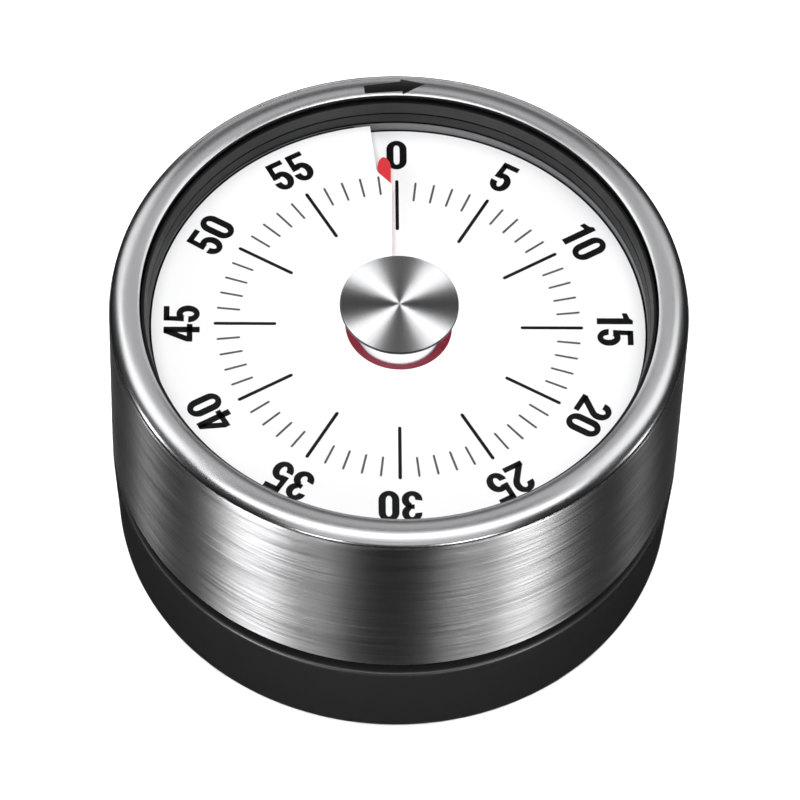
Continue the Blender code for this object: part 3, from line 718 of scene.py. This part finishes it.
    def tray(self) -> None:
        """Grey tray with the ledge that carries the dial; the faces where the dial's edge runs are painted black as
        painted shade.
        """
        low, high = box_mm("dial_tray")
        hole, outer, well, bore = self.tray_hole, self.tray_outer, self.ledge_outer, self.ledge_inner
        shape = bmesh.new()
        rows = []
        degs = [self.ledge_end * i / self.ledge_steps for i in range(self.ledge_steps + 1)]
        for deg in degs + [self.ledge_end + 1.5, 354.0, 357.0]:
            ledge = self.height(deg if deg <= self.ledge_end else deg - 360.0) - self.sheet / 2 - self.ledge_gap
            section = ((hole, low.z), (outer, low.z), (outer, high.z - self.tray_bevel), (self.tray_mouth, high.z),
                       (well, high.z), (well, ledge + self.sheet + self.ledge_gap), (well, ledge), (bore, ledge),
                       (bore, self.tray_floor), (hole, self.tray_floor))
            angle = math.radians(deg)
            rows.append([shape.verts.new((r * math.sin(angle), r * math.cos(angle), z)) for r, z in section])
        skinned(shape, rows, closed=True)
        piece = dressed(new_piece("dial_tray_moulding", shape), TRAY_ABS, Body.BASE, "black_inner", "dial_tray")
        groove = (5, 6)  # the section's edges at the dial's rim
        # the groove's faces are painted black: painted shade in the gap beside the dial's edge
        part_dressed(piece, LINER_ABS, lambda face: face.index % len(section) in groove)

    def marks(self) -> None:
        """Minute ticks, long ones every five minutes, grown round the dial by one tree."""
        tree, given = new_tree("minute_ticks", {
            "Geometry": "NodeSocketGeometry", "Count": "NodeSocketInt", "Every": "NodeSocketInt",
            "Chosen": "NodeSocketFloat", "Radius": "NodeSocketFloat", "Foot": "NodeSocketFloat",
            "Rise": "NodeSocketFloat", "Material": "NodeSocketMaterial",
        })
        out = given.outputs
        points = add_node(tree, "GeometryNodePoints", {"Count": out["Count"]})
        index = add_node(tree, "GeometryNodeInputIndex").outputs[0]
        share = add_node(tree, "ShaderNodeMath", {0: index, 1: out["Count"]}, operation="DIVIDE").outputs[0]
        angle = add_node(tree, "ShaderNodeMath", {0: share, 1: 2 * math.pi}, operation="MULTIPLY").outputs[0]
        lift = add_node(tree, "ShaderNodeMath", {0: share, 1: out["Rise"], 2: out["Foot"]}, operation="MULTIPLY_ADD")
        place = {2: lift.outputs[0]}
        for axis, way in enumerate(("SINE", "COSINE")):
            part = add_node(tree, "ShaderNodeMath", {0: angle}, operation=way).outputs[0]
            part = add_node(tree, "ShaderNodeMath", {0: part, 1: out["Radius"]}, operation="MULTIPLY").outputs[0]
            place[axis] = part
        spot = add_node(tree, "ShaderNodeCombineXYZ", place)
        placed = add_node(tree, "GeometryNodeSetPosition", {"Geometry": points.outputs[0], "Position": spot.outputs[0]})
        left_over = add_node(tree, "ShaderNodeMath", {0: index, 1: out["Every"]}, operation="MODULO").outputs[0]
        is_fifth = add_node(tree, "ShaderNodeMath", {0: left_over, 1: 0.0, 2: 0.1}, operation="COMPARE").outputs[0]
        wanted = add_node(tree, "ShaderNodeMath", {0: is_fifth, 1: out["Chosen"], 2: 0.1},
                          operation="COMPARE").outputs[0]
        back = add_node(tree, "ShaderNodeMath", {0: angle, 1: -1.0}, operation="MULTIPLY").outputs[0]
        turn = add_node(tree, "ShaderNodeCombineXYZ", {2: back})
        bars = add_node(tree, "GeometryNodeInstanceOnPoints", {
            "Points": placed.outputs[0], "Selection": wanted, "Instance": out["Geometry"], "Rotation": turn.outputs[0],
        })
        end_tree(tree, bars.outputs[0], out["Material"])
        top = self.foot + self.sheet / 2
        for name, chosen, inner, outer, width, finish in (
            ("five_minute_ticks", 1.0, 16.9, 25.6, 0.48, BLACK_INK), ("minute_ticks", 0.0, 22.0, 25.3, 0.31, GREY_INK),
        ):
            bar = self.bar(name, outer - inner, width)
            piece = grown(name, tree, bar, {
                "Count": self.tick_count, "Every": self.tick_every, "Chosen": chosen,
                "Radius": (inner + outer) / 2 * MM, "Foot": top * MM, "Rise": self.rise * MM,
                "Material": finish.material(),
            })
            dressed(piece, finish, Body.BASE, "black_inner")

    def bar(self, name: str, length: float, width: float) -> bpy.types.Mesh:
        """Mesh of one printed tick with round ends, in metres.

        Args:
            name: Name of the mesh.
            length: Its length along +Y.
            width: Its width.

        Returns:
            The mesh.
        """
        half, straight = width / 2, (length - width) / 2
        ring = []
        for side in (1, -1):
            for angle in (math.radians(45.0 * i) for i in range(5)):
                ring.append((side * half * math.cos(angle), side * (straight + half * math.sin(angle))))
        shape = bmesh.new()
        self.stamp(shape, ring)
        bmesh.ops.recalc_face_normals(shape, faces=shape.faces[:])
        return as_mesh(name, shape)

    def stamp(self, shape: bmesh.types.BMesh, ring: list[tuple[float, float]]) -> None:
        """Adds a thin layer of ink with the given outline.

        Args:
            shape: Shape that gets it.
            ring: Outline as (x, y).
        """
        rows = [[shape.verts.new((x, y, z)) for x, y in ring] for z in (self.ink_foot, self.ink)]
        skinned(shape, rows, closed=False)

    def strokes(self, digit: int) -> list[list[tuple[float, float]]]:
        """Outlines of one condensed bold digit, 2.85 wide and 5 high, each a strip between two lines.

        Args:
            digit: The digit, 0 to 5.

        Returns:
            Overlapping outlines.
        """
        def bow(cx: float, cy: float, rx: float, ry: float, a: float, b: float, count: int = 14) -> list:
            """Points along part of an ellipse."""
            return [(cx + rx * math.cos(math.radians(a + (b - a) * i / count)),
                     cy + ry * math.sin(math.radians(a + (b - a) * i / count))) for i in range(count + 1)]

        def band(outside: list, inside: list) -> list:
            """Closed outline between two lines."""
            return outside + inside[::-1]

        wide, thick = 1.425, 1.0
        inner = wide - thick
        if digit == 0:
            right = band(bow(0, 1.5, wide, 1.5, -90, 0) + bow(0, 3.5, wide, 1.5, 0, 90),
                         bow(0, 1.5, inner, 0.7, -90, 0) + bow(0, 3.5, inner, 0.7, 0, 90))
            return [right, [(-x, y) for x, y in right]]
        if digit == 1:
            return [[(-0.1, 0.0), (0.9, 0.0), (0.9, 5.0), (0.25, 5.0), (-0.05, 4.55), (-0.95, 4.2), (-0.95, 3.5),
                     (-0.1, 3.7)]]
        if digit == 2:
            top = band(bow(0, 3.55, wide, 1.45, 185, 0) + [(1.4, 3.1), (1.15, 2.5), (-0.25, 0.75), (-0.3, 0.4)],
                       bow(0, 3.55, inner, 0.65, 185, 0) + [(0.42, 3.1), (0.2, 2.75), (-1.2, 0.95), (-1.425, 0.4)])
            return [top, [(-1.425, 0.0), (1.425, 0.0), (1.425, 0.8), (-1.425, 0.8)]]
        if digit == 3:
            upper = band(bow(0, 3.62, wide - 0.03, 1.38, 185, -78), bow(0, 3.66, inner, 0.60, 185, -75))
            lower = band(bow(0, 1.42, wide, 1.42, 84, -185), bow(0, 1.38, inner, 0.60, 80, -185))
            return [upper, lower, [(-0.35, 2.2), (0.3, 2.2), (0.3, 2.92), (-0.35, 2.92)]]
        if digit == 4:
            return [[(0.05, 0.0), (0.98, 0.0), (0.98, 5.0), (0.05, 5.0)],
                    [(-1.5, 1.85), (-1.5, 1.0), (1.45, 1.0), (1.45, 1.78), (-0.7, 1.78)],
                    [(-1.5, 1.8), (-0.62, 1.7), (0.5, 4.1), (0.5, 5.0), (-0.05, 5.0)]]
        bowl = band(bow(0, 1.62, wide, 1.62, 118, -180, 20), bow(0, 1.58, inner, 0.78, 140, -180, 20))
        return [bowl, [(-1.25, 2.2), (-0.45, 2.2), (-0.38, 4.6), (-1.12, 4.6)],
                [(-1.12, 5.0), (-1.15, 4.2), (1.3, 4.2), (1.3, 5.0)]]

    def numerals(self) -> None:
        """Numbers every five minutes with their tops outward, placed by a tree from one mesh for each digit."""
        shelf = bpy.data.collections.new("digits")
        for digit in range(6):
            shape = bmesh.new()
            for ring in self.strokes(digit):
                self.stamp(shape, ring)
            shelf.objects.link(new_piece(f"digit_{digit}", shape))
        bpy.context.scene.collection.children.link(shelf)
        spots = bmesh.new()
        digits, turns = [], []
        for minute in range(0, 60, 5):
            label = str(minute)
            for place, digit in enumerate(label):
                aside = (place - (len(label) - 1) / 2) * self.numeral_gap
                middle = self.numeral_foot + self.numeral_height / 2
                clock = minute * 6.0 + math.degrees(math.atan2(aside, middle))
                turn = -math.radians(minute * 6.0)
                at = Matrix.Rotation(turn, 3, "Z") @ Vector((aside, self.numeral_foot, 0.0))
                spots.verts.new((at.x, at.y, self.height(clock) + self.sheet / 2))
                digits.append(int(digit))
                turns.append(turn)
        mesh = as_mesh("numeral_spots", spots)
        mesh.attributes.new("digit", "INT", "POINT").data.foreach_set("value", digits)
        mesh.attributes.new("turn", "FLOAT", "POINT").data.foreach_set("value", turns)
        tree, given = new_tree("dial_numerals", {
            "Geometry": "NodeSocketGeometry", "Digits": "NodeSocketCollection", "Material": "NodeSocketMaterial",
        })
        stock = add_node(tree, "GeometryNodeCollectionInfo", {
            "Collection": given.outputs["Digits"], "Separate Children": True, "Reset Children": True,
        })
        which = add_node(tree, "GeometryNodeInputNamedAttribute", {"Name": "digit"}, data_type="INT")
        turn = add_node(tree, "GeometryNodeInputNamedAttribute", {"Name": "turn"}, data_type="FLOAT")
        about = add_node(tree, "ShaderNodeCombineXYZ", {2: turn.outputs[0]})
        set_out = add_node(tree, "GeometryNodeInstanceOnPoints", {
            "Points": given.outputs["Geometry"], "Instance": stock.outputs[0], "Pick Instance": True,
            "Instance Index": which.outputs[0], "Rotation": about.outputs[0],
        })
        end_tree(tree, set_out.outputs[0], given.outputs["Material"])
        piece = grown("dial_numerals", tree, mesh, {"Digits": shelf, "Material": BLACK_INK.material()})
        for digit in list(shelf.objects):
            bpy.data.objects.remove(digit)
        bpy.data.collections.remove(shelf)
        piece.data.shade_flat()
        dressed(piece, BLACK_INK, Body.BASE, "black_inner")

    def build(self) -> None:
        """Makes the dial's pieces."""
        self.tray()
        self.dial_sheet()
        self.red_sheet()
        self.marks()
        self.numerals()


# ---------------------------------------------------------------- housing


@dataclass
class Housing:
    """Turning steel housing with its rolled lip, black liner, lens, gasket, knob and centre boss."""

    wall: float = 0.8
    lip_inner: float = 35.8
    lip_outer: float = 39.85
    lip_cut: float = 0.75
    crease: float = 46.75
    groove: float = 0.12
    inner_lift: float = 0.4
    spare: float = 0.05
    lip_steps: int = 40
    liner_bore: float = 37.2
    liner_mouth: float = 34.8
    liner_foot: float = 34.5
    liner_step: float = 43.3
    spindle: float = 1.9
    knob_neck: float = 5.5
    knob_lift: float = 0.4
    knob_undercut: float = 0.6
    knob_edge: float = 0.5
    knob_rings: tuple[float, ...] = (6.0, 4.0, 2.0, 0.8, 0.0)
    boss_foot: tuple[float, float] = (5.75, 41.3)
    boss_neck: tuple[float, float] = (4.7, 42.9)
    arrow_length: float = 8.65
    arrow_neck: float = 0.61
    arrow_tail: float = 0.64
    arrow_flare: float = 0.24
    arrow_head: float = 1.42
    arrow_tip: float = 0.04
    arrow_tilt: float = 6.8
    arrow_centre: tuple[float, float] = (-0.33, 37.15)
    arrow_ink: tuple[float, float] = (-0.05, 0.02)

    def lip_height(self, radius: float) -> float:
        """Height of the rolled lip's top, an oval cut short at its inner edge.

        Args:
            radius: Distance from the axis.

        Returns:
            The height in millimetres.
        """
        crown = box_mm("housing_shell")[1].z - self.spare
        share = 1.0 - (self.lip_outer - radius) * (1.0 + self.lip_cut) / (self.lip_outer - self.lip_inner)
        share = min(1.0, max(-self.lip_cut, share))
        lift = self.inner_lift * (1.0 - share) / 2
        return self.crease + lift + (crown - self.crease - self.inner_lift / 2) * math.sqrt(1.0 - share * share)

    def shell(self) -> None:
        """Steel wall with its rounded shoulder, and the rolled lip that sits in it behind a fine groove."""
        low, high = box_mm("housing_shell")
        outer, top = high.x, self.crease - self.groove
        inner = outer - self.wall
        wall = softened([(inner, low.z, 0.2), (outer, low.z, 0.3), (outer, top, 0.22), (inner, top)], 6)
        dressed(turned("housing_skin", wall, 288, 50.0), WALL_STEEL, Body.HOUSING, "brushed_stainless", "housing_shell")
        lip = []
        for i in range(self.lip_steps + 1):
            swing = 1.0 - math.cos(math.pi / 2 * i / self.lip_steps)
            radius = self.lip_outer - (self.lip_outer - self.lip_inner) * swing
            lip.append((radius, self.lip_height(radius)))
        under = [(r, z - self.wall * 0.75) for r, z in reversed(lip) if r < self.lip_outer - 0.8]
        outline = lip + under + [(self.lip_outer - 0.3, top - 0.6), (self.lip_outer, top - 0.3)]
        ring = dressed(turned(LIP, outline, 288, 50.0), LIP_STEEL, Body.HOUSING, "brushed_stainless")
        # the lip's inner edge and underside are painted black: painted shade in the gap over the liner
        edge = (self.lip_inner + 0.1) * MM
        part_dressed(ring, LINER_ABS, lambda face: face.normal.z < 0.1 and face.center.xy.length < edge)

    def inner_parts(self) -> None:
        """Black liner under the lip and the gasket round the lens."""
        low, high = box_mm("housing_liner")
        r, bore, step = high.x, self.liner_bore, self.liner_step
        outline = softened([
            (bore, low.z, 0.2), (r, low.z, 0.2), (r, high.z, 0.2), (self.liner_mouth, high.z),
            (self.liner_foot, step, 0.15), (bore - 0.6, step, 0.1), (bore, step - 0.6),
        ])
        dressed(turned("housing_liner_moulding", outline, 192), LINER_ABS, Body.HOUSING, "black_inner", "housing_liner")
        high = box_mm("lens_gasket")[1]
        foot = box_mm("lens")[0].z
        mouth = self.liner_mouth
        gasket = softened([(mouth, foot), (high.x, foot), (high.x, high.z), (mouth + 0.3, high.z, 0.1)])
        dressed(turned("lens_gasket_ring", gasket, 192), LINER_ABS, Body.HOUSING, "black_inner", "lens_gasket")

    def glazing(self) -> None:
        """Clear lens over the dial."""
        low, high = box_mm("lens")
        outline = [(self.spindle, low.z), (high.x, low.z), (high.x, high.z), (self.spindle, high.z)]
        dressed(turned(LENS, outline, 192), LENS_ACRYLIC, Body.HOUSING, "clear_acrylic", "lens")

    def knob(self) -> None:
        """Spun knob on its neck, and the white boss under the lens."""
        low, high = box_mm("knob")
        r, neck, under = high.x, self.knob_neck, low.z + self.knob_lift
        outline = softened([
            (0.0, low.z), (neck, low.z, 0.05), (neck, under), (r - self.knob_undercut, under),
            (r, high.z - self.knob_edge, 0.1), (r, high.z, 0.1),
        ]) + [(ring, high.z) for ring in self.knob_rings]
        disc = dressed(turned(KNOB, outline, 192, 40.0), KNOB_STEEL, Body.HOUSING, "spun_knob", "knob")
        # the knob's edge and underside take the darker copy of its steel: painted shade
        part_dressed(disc, KNOB_EDGE_PAINTED_SHADE, lambda face: face.normal.z < 0.95)
        low, high = box_mm("centre_boss")
        boss = softened([
            (self.spindle, low.z), (self.boss_foot[0], low.z, 0.1), (*self.boss_foot, 0.1), (*self.boss_neck, 0.4),
            (self.boss_neck[0], high.z), (self.spindle, high.z),
        ])
        dressed(turned(BOSS, boss, 96), BOSS_NYLON, Body.HOUSING, "white_nylon", "centre_boss")

    def arrow(self) -> None:
        """Printed arrow on the lip's far side, which shows the way to turn."""
        neck, head = self.arrow_neck, 1.0 - self.arrow_neck
        shaft = [(neck * i / 6, self.arrow_tail + self.arrow_flare * i / 6) for i in range(7)]
        # the head starts just past the neck, so that its barbs stand square on the shaft
        point = [(share, max(self.arrow_tip, self.arrow_head * (1.0 - share) / head))
                 for share in [neck + 0.001] + [neck + head * i / 6 for i in range(1, 7)]]
        tilt = math.radians(self.arrow_tilt)
        along, across = Vector((math.cos(tilt), math.sin(tilt))), Vector((-math.sin(tilt), math.cos(tilt)))
        centre = Vector(self.arrow_centre)
        shape = bmesh.new()
        rows = []
        for share, half in shaft + point:
            middle = centre + along * (share - 0.5) * self.arrow_length
            line = [middle + across * half * (i / 6 - 1) for i in range(13)]
            under, top = ([shape.verts.new((p.x, p.y, self.lip_height(p.length) + lift)) for p in line]
                          for lift in self.arrow_ink)
            rows.append(top + under[::-1])
        skinned(shape, rows, closed=False)
        dressed(new_piece("turn_arrow_print", shape), ARROW_INK, Body.HOUSING, "black_inner")

    def build(self) -> None:
        """Makes the housing's pieces."""
        self.shell()
        self.inner_parts()
        self.glazing()
        self.knob()
        self.arrow()


# ---------------------------------------------------------------- base


@dataclass
class Base:
    """Moulded base cup and its rubber foot ring."""

    top: float = 15.0
    neck: float = 36.8
    inner: float = 35.2
    floor: float = 5.0
    hole: float = 2.2
    recess: tuple[float, float] = (37.1, 3.2)
    foot_outer: float = 39.2
    ring_inner: float = 31.0

    def build(self) -> None:
        """Makes the base's pieces."""
        low, high = box_mm("base_cup")
        r = high.x
        outline = softened([
            (self.recess[0], low.z, 0.2), (self.foot_outer, low.z, 0.7), (r, self.top, 0.75),
            (self.neck, self.top, 0.15), (self.neck, high.z, 0.25), (self.inner, high.z, 0.2),
            (self.inner, self.floor, 0.3), (self.hole, self.floor), (self.hole, self.recess[1]), self.recess,
        ], 6)
        dressed(turned(CUP, outline, 256), BASE_ABS, Body.BASE, "black_abs", "base_cup")
        low, high = box_mm("foot_ring")
        inner, outer = self.ring_inner, high.x
        foot = softened([(inner, low.z, 0.3), (outer, low.z, 0.3), (outer, high.z), (inner, high.z)])
        dressed(turned("foot_ring_moulding", foot, 160), FOOT_RUBBER, Body.BASE, "black_rubber", "foot_ring")


def dress_frame() -> None:
    """Gives every CAD node that stays its finish by its slot in the record."""
    slots = {part["node"]: part["material_slot"] for part in frame["record"]["subparts"]}
    for name, node in frame["nodes"].items():
        if node.hide_render:
            continue
        finish = SLOT_FINISHES[slots[name]]
        node.data.materials.clear()
        node.data.materials.append(finish.material())
        LOG.info("%s keeps its CAD shape: %s", name, finish.name)


# ---------------------------------------------------------------- studio


@dataclass(frozen=True)
class Lamp:
    """Soft box aimed at the timer.

    Angles are seen from the timer, azimuth from the near side. Sizes are in metres and power in watts. A lamp lights
    every piece, unless `only` names the one it lights or `spare` those it leaves out, and `unshaded` names a piece
    that throws no shadow from it. One that isn't mirrored lights pieces but isn't seen in them.
    """

    name: str
    azimuth: float
    elevation: float
    width: float
    height: float
    power: float
    mirrored: bool = True
    only: str = ""
    spare: tuple[str, ...] = ()
    unshaded: str = ""
    distance: float = 0.9


@dataclass
class Studio:
    """Pale floor, soft boxes and the camera."""

    lamps: tuple[Lamp, ...] = (
        Lamp("left_front", -45.0, 14.0, 0.28, 0.34, 6.3, spare=(LIP,)),
        Lamp("right_front", 41.0, 14.0, 0.22, 0.34, 4.7, spare=(LIP,)),
        Lamp("left_fill", -24.0, 8.0, 0.20, 0.20, 0.85),
        Lamp("right_fill", 22.0, 8.0, 0.22, 0.20, 1.05),
        Lamp("left_side", -88.0, 14.0, 0.12, 0.30, 0.8),
        Lamp("right_side", 84.0, 14.0, 0.12, 0.30, 0.45),
        Lamp("left_high", -90.0, 56.0, 0.54, 0.30, 5.8, only=KNOB),
        Lamp("right_high", 90.0, 56.0, 0.54, 0.30, 5.8, only=KNOB),
        Lamp("knob_fill", 180.0, 75.0, 0.70, 0.50, 0.32, only=KNOB),
        Lamp("boss_front", 0.0, 48.0, 0.60, 0.30, 5.0, only=BOSS, unshaded=KNOB),
        Lamp("left_back", -142.0, 14.0, 0.28, 0.34, 4.4, spare=(KNOB, LIP)),
        Lamp("right_back", 138.0, 14.0, 0.24, 0.34, 3.6, spare=(KNOB, LIP)),
        Lamp("far_fill", 168.0, 10.0, 0.40, 0.20, 1.4, spare=(KNOB, LIP)),
        Lamp("sweep_light", 0.0, 89.9, 40.0, 40.0, 4200.0, mirrored=False, only=FLOOR, distance=4.0),
        Lamp("overhead", 0.0, 89.0, 1.6, 1.6, 26.0, mirrored=False, distance=1.3, unshaded=KNOB),
        Lamp("lip_ceiling", 0.0, 89.0, 1.2, 0.24, 2.9, only=LIP, distance=1.1),
        Lamp("lip_near", 0.0, 45.0, 1.0, 0.50, 1.0, only=LIP),
        Lamp("lip_near_ceiling", 0.0, 74.0, 0.70, 0.34, 0.75, only=LIP),
        Lamp("lip_left", -128.0, 56.0, 0.34, 0.36, 0.70, only=LIP),
        Lamp("lip_right", 128.0, 56.0, 0.34, 0.36, 0.60, only=LIP),
        Lamp("lip_left_back", -147.0, 37.0, 0.32, 0.34, 0.42, only=LIP),
        Lamp("lip_right_back", 147.0, 37.0, 0.32, 0.34, 0.26, only=LIP),
        Lamp("lip_far", 180.0, 58.0, 0.50, 0.34, 0.30, only=LIP),
        Lamp("lip_far_low", 180.0, 22.0, 0.60, 0.24, 0.28, only=LIP),
        Lamp("base_rim", 0.0, 60.0, 1.4, 0.24, 5.5, only=CUP),
        Lamp("lip_far_floor", 180.0, 0.0, 0.80, 0.10, 0.5, only=LIP),
    )
    elevation: float = 55.55
    turn: float = 2.15
    roll: float = 2.0
    distance: float = 0.901
    aim: float = 0.020
    lamp_aim: float = 0.03
    lens: float = 287.06
    sensor: float = 36.0
    shift: tuple[float, float] = (0.00575, 0.0204)
    backdrop: str = "#F6F6F6"
    dimness: float = 0.01
    floor_reach: float = 8000.0
    floor_gap: float = 0.02

    def world(self) -> None:
        """Even pale surround where the camera sees it, and a nearly black one for light and reflections."""
        world = bpy.data.worlds.new("studio")
        world.use_nodes = True
        tree = world.node_tree
        tree.nodes.clear()
        path = add_node(tree, "ShaderNodeLightPath")
        dark = add_node(tree, "ShaderNodeBackground", {"Color": linear("#FFFFFF"), "Strength": self.dimness})
        seen = add_node(tree, "ShaderNodeBackground", {"Color": linear(self.backdrop), "Strength": 1.0})
        mixed = add_node(tree, "ShaderNodeMixShader",
                         {0: path.outputs["Is Camera Ray"], 1: dark.outputs[0], 2: seen.outputs[0]})
        add_node(tree, "ShaderNodeOutputWorld", {"Surface": mixed.outputs[0]})
        bpy.context.scene.world = world
        bpy.context.scene.view_settings.view_transform = "Standard"

    def lights(self) -> None:
        """Soft boxes that face the timer, each linked to the pieces it lights."""
        target = Vector((0.0, 0.0, self.lamp_aim))
        for lamp in self.lamps:
            light = bpy.data.lights.new(lamp.name, "AREA")
            light.shape = "RECTANGLE"
            light.size, light.size_y, light.energy = lamp.width, lamp.height, lamp.power
            az, el = math.radians(lamp.azimuth), math.radians(lamp.elevation)
            spot = Vector((math.sin(az) * math.cos(el), -math.cos(az) * math.cos(el), math.sin(el))) * lamp.distance
            holder = bpy.data.objects.new(lamp.name, light)
            holder.location = target + spot
            holder.visible_glossy = lamp.mirrored
            holder.visible_camera = False
            # a low lamp would fill the flat lens with its own reflection and hide the dial, so none shows in it
            spared = () if lamp.only or not lamp.mirrored else (LENS, *lamp.spare)
            for pieces, role, state in (((lamp.only,), "receiver_collection", "INCLUDE"),
                                        (spared, "receiver_collection", "EXCLUDE"),
                                        ((lamp.unshaded,), "blocker_collection", "EXCLUDE")):
                if any(pieces):
                    group = bpy.data.collections.new(f"{lamp.name}_{role}")
                    for place, piece in enumerate(pieces):
                        group.objects.link(bpy.data.objects[piece])
                        group.collection_objects[place].light_linking.link_state = state
                    setattr(holder.light_linking, role, group)
            holder.rotation_euler = (-spot).to_track_quat("-Z", "Y").to_euler()
            bpy.context.scene.collection.objects.link(holder)

    def floor(self) -> None:
        """Large pale sheet under the object."""
        shape = bmesh.new()
        side = self.floor_reach
        shape.faces.new([shape.verts.new((x, y, CAD_BOX[0][2] / MM - self.floor_gap)) for x, y in
                         ((-side, -side), (side, -side), (side, side), (-side, side))])
        mesh = as_mesh(FLOOR, shape)
        mesh.materials.append(FLOOR_PAPER.material())
        sheet = bpy.data.objects.new(FLOOR, mesh)
        bpy.context.scene.collection.objects.link(sheet)
        sheet.visible_glossy = False

    def camera(self) -> None:
        """Long lens that looks down on the dial from the near side."""
        e, t, roll = (math.radians(a) for a in (self.elevation, self.turn, self.roll))
        target = Vector((0.0, 0.0, self.aim))
        spot = Vector((-math.sin(t) * math.cos(e), -math.cos(t) * math.cos(e), math.sin(e))) * self.distance
        ahead = (-spot).normalized()
        right = ahead.cross(Vector((0.0, 0.0, 1.0))).normalized()
        up = right.cross(ahead)
        right, up = right * math.cos(roll) + up * math.sin(roll), up * math.cos(roll) - right * math.sin(roll)
        data = bpy.data.cameras.new("view")
        data.lens, data.sensor_width = self.lens, self.sensor
        data.shift_x, data.shift_y = self.shift
        data.clip_start, data.clip_end = 0.05, 50.0
        holder = bpy.data.objects.new("view", data)
        holder.matrix_world = Matrix.Translation(target + spot) @ Matrix((right, up, -ahead)).transposed().to_4x4()
        bpy.context.scene.collection.objects.link(holder)
        bpy.context.scene.camera = holder

    def build(self) -> None:
        """Sets up the studio."""
        self.world()
        self.floor()
        self.lights()
        self.camera()


def main() -> None:
    """Builds the timer's looks and the studio."""
    logging.basicConfig(level=logging.INFO, format="%(name)s %(message)s")
    Base().build()
    Dial().build()
    Housing().build()
    dress_frame()
    Studio().build()


if __name__ == "__main__":
    main()
